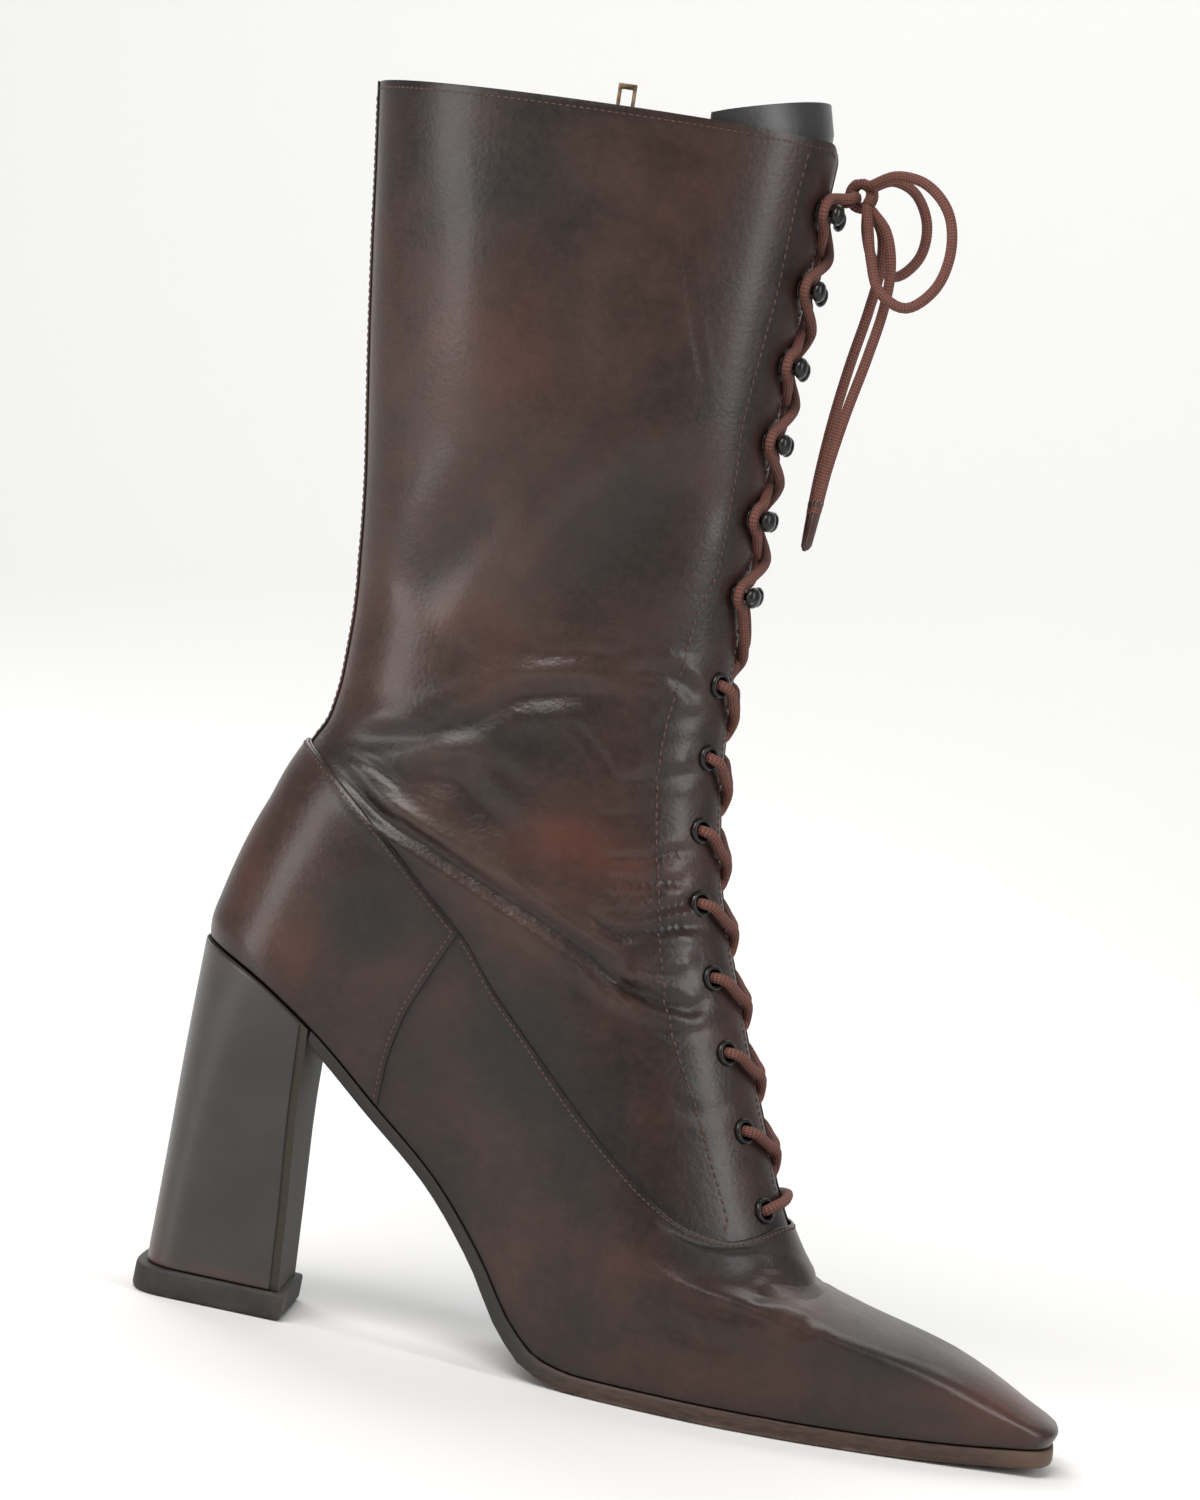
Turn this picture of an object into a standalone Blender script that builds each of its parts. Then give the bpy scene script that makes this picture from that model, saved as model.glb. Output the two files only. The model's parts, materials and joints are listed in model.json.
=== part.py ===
"""Lace-up boot for the right foot, with a leather-covered block heel and an inside zip.

Frame: +X points to the toe, +Y to the inner (medial) side and +Z up, in metres. The boot stands on the
plane z = 0. Every table below is in millimetres, with x measured forward from the back of the heel.
"""

import math

import bmesh
import bpy
from mathutils import Matrix, Vector

MM = 0.001
ORIGIN_X = 123.6  # the middle of the boot's length and width, where the model's own origin stands
ORIGIN_Y = 2.5

# Driving dimensions
GAP = 0.3  # between pieces that touch
WALL = 1.8  # leather with its lining
VAMP_STEP = 0.8  # the foot leathers lap over the shaft by this much
COUNTER_LEATHER = 0.8
COUNTER_GAP = 0.5
SOLE_MARGIN = 1.0  # the sole stands proud of the upper
SEAT_DROP = 0.3  # the heel's top lies this far under the sole line
TOP_PIECE_HEIGHT = 7.0
INSOLE_THICKNESS = 2.5
INSOLE_INSET = 3.0
INSOLE_LIFT = 0.5
LACE_DIAMETER = 2.8
LACE_OVER_EYELET = 3.4  # middle of the lace above the shaft's leather
LACE_AT_CROSSING = 4.1
LACE_AT_HOOK = 2.8
STRAND_LIFT = 0.5  # one strand crosses over the other
ROWS_OF_EYELETS = 8
ROWS_OF_HOOKS = 6
FIRST_ROW_UP = 5.5  # the lowest eyelets above the throat's foot, along the front of the boot
EYELET_PITCH = 19.4
FIRST_HOOK_UP = 165.4
HOOK_PITCH = 20.2
EYELETS_OUT = (15.4, 16.6, 17.4, 17.2, 16.8, 15.0, 13.2, 12.0)  # from the throat's middle, round the leather
HOOK_OUT = 10.8
EYELET_HOLE_RADIUS = 2.9
RIVET_HOLE_RADIUS = 1.3

# The line where the upper meets the sole, from the heel seat down the arch to the toe
SOLE_LINE_COLUMNS = ("x", "top", "thickness")
SOLE_LINE = (
    (0.0, 94.5, 3.0),
    (18.0, 87.5, 3.0),
    (36.0, 76.5, 3.0),
    (56.0, 60.5, 3.0),
    (74.0, 46.0, 3.0),
    (90.0, 28.8, 3.2),
    (102.0, 13.0, 3.8),
    (111.0, 6.3, 4.3),
    (122.0, 4.5, 4.5),
    (190.0, 4.5, 4.5),
    (218.0, 5.2, 4.5),
    (248.0, 7.3, 4.5),
)

# The plan of the foot: heel, waist, ball and a narrow square toe that leans to the inner side
FOOT_COLUMNS = ("x", "centre", "half_width")
FOOT = (
    (0.0, 0.0, 24.8),
    (25.0, 0.0, 25.6),
    (50.0, -0.5, 23.8),
    (75.0, -2.0, 22.0),
    (95.0, -2.0, 25.5),
    (115.0, -1.0, 31.5),
    (135.0, 0.2, 36.2),
    (155.0, 1.0, 37.8),
    (175.0, 2.0, 36.2),
    (195.0, 3.0, 31.8),
    (215.0, 3.7, 25.6),
    (235.0, 4.3, 18.6),
    (248.0, 4.5, 15.0),
)

# One row for each section of the upper, from the sole up to the collar. A section runs from a point on the
# back of the boot to a point on its front. follow: how far it copies the arch of the sole line. dip: how far
# it sinks beside the throat's foot. foot: the share of the foot's plan in its width, the rest being leg.
# The caps are the lengths over which its front and back ends round off. steps: mesh rows to the next section.
SECTION_COLUMNS = (
    "back_x", "back_z", "front_x", "front_z", "follow", "dip",
    "foot", "leg", "front_cap", "back_cap", "front_power", "steps",
)
SECTIONS = (
    (3.6, 93.4, 244.6, 7.4, 1.00, 0.0, 1.00, 30.0, 9.0, 25.0, 3.0, 1),    # feather edge
    (3.2, 98.0, 246.0, 11.0, 1.00, 0.0, 0.97, 30.5, 11.0, 25.5, 2.9, 1),  # toe wall
    (4.4, 105.0, 237.0, 16.3, 1.00, 0.0, 0.92, 31.0, 15.0, 27.0, 2.5, 2),  # toe slope
    (6.6, 115.0, 218.0, 25.0, 1.00, 0.0, 0.84, 32.0, 27.0, 28.0, 2.3, 2),  # top of the toe box
    (9.3, 124.5, 194.0, 30.8, 1.00, 0.5, 0.74, 32.0, 42.0, 29.0, 2.2, 1),  # vamp
    (11.8, 131.5, 178.0, 36.0, 0.98, 2.0, 0.65, 32.0, 50.0, 30.0, 2.1, 1),  # break
    (14.5, 140.0, 171.3, 44.5, 0.91, 5.0, 0.55, 31.5, 53.0, 32.0, 2.1, 1),  # rise
    (18.4, 149.0, 167.3, 52.5, 0.80, 11.0, 0.45, 31.0, 55.0, 34.0, 2.1, 2),  # seam and throat's foot
    (21.8, 157.0, 156.5, 76.0, 0.64, 4.0, 0.25, 30.0, 57.0, 38.0, 2.1, 2),  # instep
    (22.8, 168.0, 143.0, 106.0, 0.40, 0.5, 0.10, 29.0, 56.0, 42.0, 2.1, 2),  # upper instep
    (22.6, 181.0, 131.5, 137.0, 0.18, 0.0, 0.00, 28.5, 54.0, 46.0, 2.1, 1),  # bend
    (21.4, 196.0, 126.0, 170.0, 0.04, 0.0, 0.00, 28.5, 52.5, 50.0, 2.1, 2),  # ankle
    (18.4, 219.0, 123.6, 208.0, 0.00, 0.0, 0.00, 31.0, 53.0, 51.0, 2.1, 1),  # over the ankle
    (11.4, 260.0, 122.9, 258.0, 0.00, 0.0, 0.00, 36.0, 56.0, 54.0, 2.1, 2),  # calf
    (1.6, 320.5, 124.6, 327.5, 0.00, 0.0, 0.00, 40.3, 61.5, 60.5, 2.1, 0),  # collar
)
SEAM_SECTION = 7  # the quarter seam and the foot of the throat lie on this section
COLLAR_SECTION = len(SECTIONS) - 1
BACK_POWER = 2.1
DIP_X = 145.0
DIP_HALF_LENGTH = 32.0

# Places round a section, as a share of the way from the front (0) to the back (1) on either side
THROAT_EDGE = 0.035
ZIP_FRONT_EDGE = 0.478
ZIP_BACK_EDGE = 0.522
FRONT_PLACES = (THROAT_EDGE, 0.077, 0.122, 0.175, 0.235, 0.3, 0.365, 0.425, ZIP_FRONT_EDGE)
BREAST_PLACE = 0.761  # the sole ends and the heel's breast stands here
BACK_PLACES = (ZIP_BACK_EDGE, 0.552, 0.582, 0.612, 0.65, 0.7, BREAST_PLACE, 0.83, 0.89, 0.945, 1.0)
ZIP_LOW = 8.6  # section at which the zip's slot ends
COLLAR_CORNER = 4.0  # the collar rounds down by this much at the throat

# Heel block, one row for each level, as a share of the way from the top piece up to the heel seat
# level, rear x, breast x, half width, corner, power
HEEL = (
    (0.0, 3.4, 40.6, 18.6, 11.0, 2.8),
    (0.3, 3.0, 39.0, 19.4, 13.0, 2.7),
    (0.7, 2.2, 36.6, 22.6, 19.0, 2.4),
    (1.0, 1.9, 35.7, 27.1, 27.0, 2.1),
)
TOP_PIECE = (1.0, 42.2, 19.8, 11.5, 3.2)  # rear x, breast x, half width, corner, power
HEEL_PLACES = (0.0, 0.015, 0.06, 0.13, 0.22, 0.34, 0.5, 0.75, 1.0)

# Front seam of the heel counter, from the sole to the quarter seam
COUNTER_SEAM_COLUMNS = ("z", "x")
COUNTER_SEAM = ((62.0, 56.5), (70.0, 56.6), (83.0, 58.4), (96.0, 63.0), (110.0, 68.8))
COUNTER_FOOT = 0.14
COUNTER_TOP = 6.93
COUNTER_BACK = 0.78  # from here back its columns are the upper's own
COUNTER_COLUMNS = 4  # between its seam and there

TONGUE_THICKNESS = 1.5
TONGUE_INNER = 0.18  # within this share round the boot its columns are every other one of the upper's
TONGUE_HALF_AT_FOOT = 0.24
TONGUE_HALF_AT_COLLAR = 0.345
TONGUE_GAP = 0.6
TONGUE_FOOT = 6.4
TONGUE_ABOVE_COLLAR = 9.6

KNOT = Vector((131.0, 0.0, 315.5))
KNOT_RADII = (3.8, 5.0, 4.2)
AGLET_RADIUS = 1.1
AGLET_LENGTH = 9.0
# Routes of the free parts of the lace, from the knot. The loops droop, the ends hang down the front.
BOW = {
    "lace_loop_outer": (
        (133.0, -4.4, 318.2), (139.0, -7.2, 321.6), (147.0, -10.6, 320.8), (154.0, -13.4, 314.6),
        (156.6, -14.8, 304.8), (154.6, -15.0, 294.8), (148.2, -14.0, 288.6), (140.8, -11.8, 291.4),
        (136.8, -8.8, 299.4), (134.4, -6.0, 307.6), (133.0, -4.2, 312.2),
    ),
    "lace_loop_inner": (
        (133.0, 4.4, 318.2), (138.0, 8.0, 321.2), (144.2, 12.4, 319.6), (148.8, 16.0, 312.4),
        (148.6, 17.6, 303.6), (143.4, 16.2, 297.4), (137.4, 12.0, 299.8), (134.0, 7.6, 306.6),
        (133.0, 4.4, 312.2),
    ),
    "lace_end_outer": (
        (134.4, -1.8, 312.0), (139.0, -2.9, 307.6), (142.0, -4.0, 299.5), (142.6, -4.8, 289.0),
        (141.0, -5.4, 275.0), (138.4, -5.8, 259.0), (136.6, -6.0, 244.0), (136.0, -6.0, 233.0),
    ),
    "lace_end_inner": (
        (134.4, 1.8, 312.0), (138.0, 3.6, 307.0), (139.4, 5.2, 298.5), (138.6, 6.4, 287.0),
        (136.6, 7.0, 272.0), (135.2, 7.2, 257.0), (134.6, 7.2, 243.0), (134.6, 7.2, 232.5),
    ),
}

# Colours as linear red, green and blue, with roughness and metallic
FINISHES = {
    "leather": ((0.052, 0.026, 0.018), 0.38, 0.0),
    "heel_leather": ((0.030, 0.024, 0.018), 0.35, 0.0),
    "lining": ((0.022, 0.026, 0.022), 0.6, 0.0),
    "sole": ((0.10, 0.055, 0.032), 0.65, 0.0),
    "top_piece": ((0.018, 0.016, 0.014), 0.75, 0.0),
    "black_metal": ((0.010, 0.010, 0.010), 0.3, 0.8),
    "brass": ((0.13, 0.09, 0.05), 0.4, 0.9),
    "tape": ((0.020, 0.014, 0.011), 0.8, 0.0),
    "lace": ((0.155, 0.060, 0.040), 0.7, 0.0),
    "aglet": ((0.060, 0.025, 0.018), 0.35, 0.0),
}


def between(rows, columns, key, name, at):
    """A smooth value of one named column where the key column equals at, with no overshoot (monotone cubic)."""
    keys = [row[columns.index(key)] for row in rows]
    values = [row[columns.index(name)] for row in rows]
    return monotone(keys, values, at)


def monotone(keys, values, at):
    at = min(max(at, keys[0]), keys[-1])
    i = max(k for k in range(len(keys) - 1) if keys[k] <= at)
    slopes = [(values[k + 1] - values[k]) / (keys[k + 1] - keys[k]) for k in range(len(keys) - 1)]

    def tangent(k):
        if k in (0, len(keys) - 1):
            return slopes[min(k, len(slopes) - 1)]
        before, after = slopes[k - 1], slopes[k]
        if before * after <= 0:
            return 0.0
        return 2 * before * after / (before + after)

    span = keys[i + 1] - keys[i]
    s = (at - keys[i]) / span
    return (
        (2 * s**3 - 3 * s**2 + 1) * values[i]
        + (s**3 - 2 * s**2 + s) * span * tangent(i)
        + (3 * s**2 - 2 * s**3) * values[i + 1]
        + (s**3 - s**2) * span * tangent(i + 1)
    )


def sole_top(x):
    return between(SOLE_LINE, SOLE_LINE_COLUMNS, "x", "top", x)


def sole_thickness(x):
    return between(SOLE_LINE, SOLE_LINE_COLUMNS, "x", "thickness", x)


def foot_centre(x):
    return between(FOOT, FOOT_COLUMNS, "x", "centre", x)


def foot_half(x):
    return between(FOOT, FOOT_COLUMNS, "x", "half_width", x)


def section(t):
    """The section at t, where a whole number is a row of the table, as a dictionary of its columns."""
    numbers = list(range(len(SECTIONS)))
    return {
        name: monotone(numbers, [row[i] for row in SECTIONS], t)
        for i, name in enumerate(SECTION_COLUMNS)
    }


def rounding(from_end, cap, power):
    """1 away from a section's end, falling to 0 at it as a superellipse does."""
    if from_end >= cap:
        return 1.0
    return (1 - min(1.0, 1 - from_end / cap) ** power) ** (1 / power)


def ring(row, v):
    """A point of a section. v is 0 at the front, -1 or 1 at the back, negative on the outer side."""
    v = (v + 1) % 2 - 1
    along = (1 - math.cos(math.pi * abs(v))) / 2
    x = row["front_x"] - (row["front_x"] - row["back_x"]) * along
    half = row["foot"] * foot_half(x) + (1 - row["foot"]) * row["leg"]
    half *= rounding(row["front_x"] - x, row["front_cap"], row["front_power"])
    half *= rounding(x - row["back_x"], row["back_cap"], BACK_POWER)
    y = row["foot"] * foot_centre(x) + math.copysign(half, v)
    back_lift = row["back_z"] - sole_top(row["back_x"])
    front_lift = row["front_z"] - sole_top(row["front_x"])
    arched = sole_top(x) + front_lift + (back_lift - front_lift) * along
    level = row["front_z"] + (row["back_z"] - row["front_z"]) * along
    z = row["follow"] * arched + (1 - row["follow"]) * level
    from_dip = min(1.0, abs(x - DIP_X) / DIP_HALF_LENGTH)
    z -= row["dip"] * math.cos(math.pi / 2 * from_dip) ** 2
    return Vector((x, y, z))


def surface(t, v, out=0.0):
    """A point on the upper at section t and place v, moved outwards by out."""
    point = ring(section(t), v)
    if not out:
        return point
    step_t, step_v = 0.02, 0.004
    low, high = max(0.0, t - step_t), min(float(COLLAR_SECTION), t + step_t)
    up = ring(section(high), v) - ring(section(low), v)
    round_it = ring(section(t), v + step_v) - ring(section(t), v - step_v)
    return point + round_it.cross(up).normalized() * out


def normal(t, v):
    return (surface(t, v, 1.0) - surface(t, v)).normalized()


def metres(p):
    return Vector(((p[0] - ORIGIN_X) * MM, (p[1] - ORIGIN_Y) * MM, p[2] * MM))


def material(name):
    found = bpy.data.materials.get(name)
    if found:
        return found
    made = bpy.data.materials.new(name)
    made.use_nodes = True
    colour, roughness, metallic = FINISHES[name]
    shader = made.node_tree.nodes["Principled BSDF"]
    shader.inputs["Base Color"].default_value = (*colour, 1)
    shader.inputs["Roughness"].default_value = roughness
    shader.inputs["Metallic"].default_value = metallic
    made.diffuse_color = (*colour, 1)
    return made


def add(name, data, finish):
    made = bpy.data.objects.new(name, data)
    bpy.context.scene.collection.objects.link(made)
    data.materials.append(material(finish))
    return made


def mesh_object(name, points, faces, finish):
    """An object from points in the tables' millimetres and faces that index them."""
    data = bpy.data.meshes.new(name)
    data.from_pydata([metres(p) for p in points], [], faces)
    fix = bmesh.new()
    fix.from_mesh(data)
    bmesh.ops.remove_doubles(fix, verts=fix.verts, dist=0.01 * MM)
    loose = [v for v in fix.verts if not v.link_faces]
    bmesh.ops.delete(fix, geom=loose, context="VERTS")
    bmesh.ops.recalc_face_normals(fix, faces=fix.faces)
    fix.to_mesh(data)
    fix.free()
    data.shade_smooth()
    data.set_sharp_from_angle(angle=math.radians(35))
    return add(name, data, finish)


def solidify(obj, thickness, offset):
    """Gives a sheet its thickness: offset -1 puts it under the sheet, 1 over it."""
    wall = obj.modifiers.new("wall", "SOLIDIFY")
    wall.thickness = thickness * MM
    wall.offset = offset
    wall.use_even_offset = True
    wall.use_rim = True


def grid_faces(rows, columns, wanted=lambda r, c: True):
    """Quads of a grid of rows by columns points, those for which wanted(row, column) holds."""
    return [
        (r * columns + c, r * columns + c + 1, (r + 1) * columns + c + 1, (r + 1) * columns + c)
        for r in range(rows - 1)
        for c in range(columns - 1)
        if wanted(r, c)
    ]


def places_round():
    """The columns of the upper's mesh: from the back round the outer side, the front and the inner side."""
    half = [0.0, *FRONT_PLACES, *BACK_PLACES]
    return [-v for v in reversed(half)] + half[1:]


def levels_up():
    """(section, recess) for each row of the upper's mesh. At the seam two rows make the step."""
    levels = []
    for i, row in enumerate(SECTIONS):
        steps = row[SECTION_COLUMNS.index("steps")]
        if i == SEAM_SECTION:
            levels.append((float(i), 0.0))
        for k in range(max(steps, 1)):
            t = i + k / max(steps, 1)
            if i == SEAM_SECTION and k == 0:
                t += 0.05
            levels.append((t, VAMP_STEP if t > SEAM_SECTION else 0.0))
    return levels


def upper_point(t, v, recess):
    """The upper's outer face, with the collar rounded down beside the throat."""
    if t >= COLLAR_SECTION - 0.01:
        near = max(0.0, 1 - (abs(v) - THROAT_EDGE) / 0.06)
        t -= COLLAR_CORNER / 62.0 * near**2
    return surface(t, v, -recess)


def make_upper():
    places, levels = places_round(), levels_up()
    points = [upper_point(t, v, recess) for t, recess in levels for v in places]

    def leather(r, c):
        t = levels[r][0]
        middle = (places[c] + places[c + 1]) / 2
        in_throat = abs(middle) < THROAT_EDGE and t > SEAM_SECTION - 0.01
        in_zip = ZIP_FRONT_EDGE < middle < ZIP_BACK_EDGE and t > ZIP_LOW - 0.2
        return not (in_throat or in_zip)

    upper = mesh_object("upper", points, grid_faces(len(levels), len(places), leather), "leather")
    solidify(upper, WALL, -1)
    punch = upper.modifiers.new("holes", "BOOLEAN")
    punch.operation = "DIFFERENCE"
    punch.object = make_hole_punch()
    return upper


def make_hole_punch():
    """Every eyelet and rivet hole as one cutter that is left out of the boot."""
    holes = bmesh.new()
    for row in range(ROWS_OF_EYELETS + ROWS_OF_HOOKS):
        radius, sides = (EYELET_HOLE_RADIUS, 8) if row < ROWS_OF_EYELETS else (RIVET_HOLE_RADIUS, 6)
        for side in (-1, 1):
            place = seat(row, side)
            place.translation -= place.col[2].to_3d() * VAMP_STEP * MM
            bmesh.ops.create_cone(
                holes, cap_ends=True, segments=sides, radius1=radius * MM, radius2=radius * MM,
                depth=9 * MM, matrix=place,
            )
    data = bpy.data.meshes.new("hole_punch")
    holes.to_mesh(data)
    holes.free()
    punch = add("hole_punch", data, "black_metal")
    punch.hide_render = True
    punch.display_type = "WIRE"
    return punch


def throat_path():
    """(length so far, section) up the front of the boot from the throat's foot to the collar."""
    path = [(0.0, float(SEAM_SECTION))]
    steps = 160
    before = surface(SEAM_SECTION, 0)
    for i in range(1, steps + 1):
        t = SEAM_SECTION + (COLLAR_SECTION - SEAM_SECTION) * i / steps
        here = surface(t, 0)
        path.append((path[-1][0] + (here - before).length, t))
        before = here
    return path


THROAT_PATH = throat_path()


def row_section(row):
    """The section at which a row of eyelets or hooks sits."""
    if row < ROWS_OF_EYELETS:
        return section_up_front(FIRST_ROW_UP + EYELET_PITCH * row)
    return section_up_front(FIRST_HOOK_UP + HOOK_PITCH * (row - ROWS_OF_EYELETS))


def section_up_front(length):
    return monotone([p[0] for p in THROAT_PATH], [p[1] for p in THROAT_PATH], length)


def seat_place(row, side):
    out = EYELETS_OUT[row] if row < ROWS_OF_EYELETS else HOOK_OUT
    return side * place_out(row_section(row), out)


def place_out(t, out):
    """The place round section t that lies this far from the middle of the throat, round the leather."""
    steps, gone, before = 120, 0.0, surface(t, 0)
    for i in range(1, steps + 1):
        v = 0.3 * i / steps
        here = surface(t, v)
        gone += (here - before).length
        if gone >= out:
            return v
        before = here
    return 0.3


def seat(row, side):
    """The frame of an eyelet or hook, in metres: z out of the shaft's leather, x up the boot."""
    t = row_section(row)
    v = seat_place(row, side)
    outwards = normal(t, v)
    up = surface(t + 0.1, v) - surface(t - 0.1, v)
    across = outwards.cross(up).normalized()
    up = across.cross(outwards)
    turn = Matrix((up, across, outwards)).transposed().to_4x4()
    return Matrix.Translation(metres(surface(t, v, -VAMP_STEP))) @ turn


def lathe(name, profile, segments, finish, place, steps_closed=True):
    """A ring turned from (radius, height) points in millimetres about the z axis of its own frame."""
    points, faces = [], []
    for i in range(segments):
        angle = math.tau * i / segments
        for radius, height in profile:
            points.append((radius * MM * math.cos(angle), radius * MM * math.sin(angle), height * MM))
    n = len(profile)
    for i in range(segments):
        j = (i + 1) % segments
        for k in range(n if steps_closed else n - 1):
            m = (k + 1) % n
            faces.append((i * n + k, j * n + k, j * n + m, i * n + m))
    if not steps_closed:
        faces.append(tuple(i * n for i in range(segments)))
        faces.append(tuple(i * n + n - 1 for i in reversed(range(segments))))
    data = bpy.data.meshes.new(name)
    data.from_pydata(points, [], faces)
    fix = bmesh.new()
    fix.from_mesh(data)
    bmesh.ops.recalc_face_normals(fix, faces=fix.faces)
    fix.to_mesh(data)
    fix.free()
    data.shade_smooth()
    data.set_sharp_from_angle(angle=math.radians(50))
    made = add(name, data, finish)
    made.matrix_world = place
    return made


def make_eyelets():
    """Flanged rings whose barrels pass through the leather."""
    profile = ((2.1, 0.95), (3.1, 1.1), (3.7, 0.35), (2.5, 0.35), (2.3, -1.6))
    for row in range(ROWS_OF_EYELETS):
        for side, name in ((-1, "outer"), (1, "inner")):
            lathe(f"eyelet_{name}_{row + 1}", profile, 8, "black_metal", seat(row, side))


def make_hooks():
    """Speed hooks: a rivet through the leather, a base, a neck and a rounded head."""
    profile = (
        (0.9, -1.5), (0.9, 0.35), (2.6, 0.35), (1.2, 1.1),
        (1.2, 4.6), (2.7, 5.0), (2.5, 6.2), (0.9, 6.9),
    )
    for row in range(ROWS_OF_EYELETS, ROWS_OF_EYELETS + ROWS_OF_HOOKS):
        for side, name in ((-1, "outer"), (1, "inner")):
            number = row - ROWS_OF_EYELETS + 1
            lathe(f"hook_{name}_{number}", profile, 6, "black_metal", seat(row, side), steps_closed=False)


def levels_between(low, high):
    """The upper's own mesh levels from low to high, so that facets of what lies against it run alike."""
    inner = [t for t, _ in levels_up() if low + 0.06 < t < high - 0.06]
    return [low, *inner, high]


def counter_edge(t):
    """The place round section t at which the counter's front seam crosses it."""
    front, back = 0.5, 0.8
    for _ in range(30):
        middle = (front + back) / 2
        point = surface(t, middle)
        if point.x > between(COUNTER_SEAM, COUNTER_SEAM_COLUMNS, "z", "x", point.z):
            front = middle
        else:
            back = middle
    return front


def make_counter():
    """The heel counter: a leather over the back of the foot, up to the quarter seam."""
    levels = levels_between(COUNTER_FOOT, COUNTER_TOP)
    back = [v for v in places_round() if v > COUNTER_BACK - 0.01]
    columns = 2 * len(back) + 2 * COUNTER_COLUMNS - 1
    points = []
    for t in levels:
        edge = counter_edge(t)
        half = [edge + (back[0] - edge) * i / COUNTER_COLUMNS for i in range(COUNTER_COLUMNS)] + back
        places = half + [2 - v for v in reversed(half[:-1])]
        points += [surface(t, v, COUNTER_GAP) for v in places]
    counter = mesh_object("counter", points, grid_faces(len(levels), columns), "leather")
    solidify(counter, COUNTER_LEATHER, 1)


def make_tongue():
    """The tongue lies under the throat and stands a little above the collar."""
    inner = [v for v in places_round() if abs(v) < TONGUE_INNER][::2]
    under = -(VAMP_STEP + WALL + TONGUE_GAP)
    levels = levels_between(TONGUE_FOOT, COLLAR_SECTION)
    points = []
    for t in levels:
        up = (t - TONGUE_FOOT) / (COLLAR_SECTION - TONGUE_FOOT)
        edge = TONGUE_HALF_AT_FOOT + (TONGUE_HALF_AT_COLLAR - TONGUE_HALF_AT_FOOT) * up
        outer = [(inner[-1] + edge) / 2, edge]
        places = [-v for v in reversed(outer)] + inner + outer
        points += [surface(t, v, under) for v in places]
    lean = Vector((-0.3, 0, 1)).normalized()
    for share in (0.5, 1.0):
        for v in places:
            rounded = 1 - 0.6 * (abs(v) / edge) ** 6
            points.append(surface(COLLAR_SECTION, v, under) + lean * TONGUE_ABOVE_COLLAR * share * rounded)
    tongue = mesh_object("tongue", points, grid_faces(len(levels) + 2, len(places)), "lining")
    solidify(tongue, TONGUE_THICKNESS, -1)


def sole_point(x, y, depth):
    """A point under the sole line at x, this deep along the line's normal."""
    slope = (sole_top(x + 0.5) - sole_top(x - 0.5)) / 1.0
    length = math.hypot(1, slope)
    return Vector((x + slope / length * depth, y, sole_top(x) - depth / length))


def foot_edge(margin, v):
    """The plan of the upper at the sole, grown by margin, as (x, y, x of the upper's own edge)."""
    row = section(0)
    here = ring(row, v)
    along = ring(row, v + 0.002) - ring(row, v - 0.002)
    outwards = Vector((along.y, -along.x, 0)).normalized()
    if outwards.dot(here - Vector((ORIGIN_X, 0, here.z))) < 0:
        outwards.negate()
    return here.x + outwards.x * margin, here.y + outwards.y * margin, here.x


def stacked(name, loops, finish):
    """A closed solid from loops of equal length, each running from one end round to the other, with the
    points at i and -1 - i opposite each other. The first and last loops are covered across, pair by pair."""
    n = len(loops[0])
    points = [p for loop in loops for p in loop]
    faces = []
    for level in range(len(loops) - 1):
        for i in range(n):
            j = (i + 1) % n
            faces.append((level * n + i, level * n + j, (level + 1) * n + j, (level + 1) * n + i))
    for level in (0, len(loops) - 1):
        for i in range(n // 2):
            quad = [level * n + k for k in (i, i + 1, n - 2 - i, n - 1 - i)]
            faces.append(tuple(dict.fromkeys(quad)))
    return mesh_object(name, points, [f for f in faces if len(f) > 2], finish)


def sole_places():
    """Places round the toe from breast to breast: the upper's own columns, so that their facets run alike."""
    return [v for v in places_round() if abs(v) < BREAST_PLACE + 0.01]


def make_outsole():
    """The leather sole from the toe up the arch to the heel breast, with a rounded edge."""
    edges = ((-0.4, 0.0), (0.0, 0.25), (0.0, 0.7), (-0.9, 1.0))  # margin change, share of the thickness
    back_x = ring(section(0), BREAST_PLACE).x
    loops = []
    for change, depth in edges:
        loop = []
        for v in sole_places():
            x, y, seat_x = foot_edge(SOLE_MARGIN + change, v)
            point = sole_point(seat_x, y, depth * sole_thickness(seat_x))
            point.x = max(point.x + x - seat_x, back_x)
            loop.append(point)
        loops.append(loop)
    stacked("outsole", loops, "sole")


def make_insole():
    """The insole lies inside the upper, on the sole and the heel seat."""
    loops = []
    for height in (INSOLE_LIFT, INSOLE_LIFT + INSOLE_THICKNESS):
        loop = []
        for v in places_round()[1:-1]:
            x, y, seat_x = foot_edge(-INSOLE_INSET, v)
            loop.append(Vector((x, y, sole_top(seat_x) + height)))
        loops.append(loop)
    stacked("insole", loops, "lining")


def heel_loop(rear_x, breast_x, half_width, corner, power, height):
    """A loop round the heel from breast corner to breast corner; height gives z at an x."""
    side = []
    for share in HEEL_PLACES:
        x = rear_x + (breast_x - rear_x) * share
        side.append((x, half_width * rounding(x - rear_x, corner, power)))
    loop = [Vector((x, -y, height(x))) for x, y in reversed(side)]
    return loop + [Vector((x, y, height(x))) for x, y in side[1:]]


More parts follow.
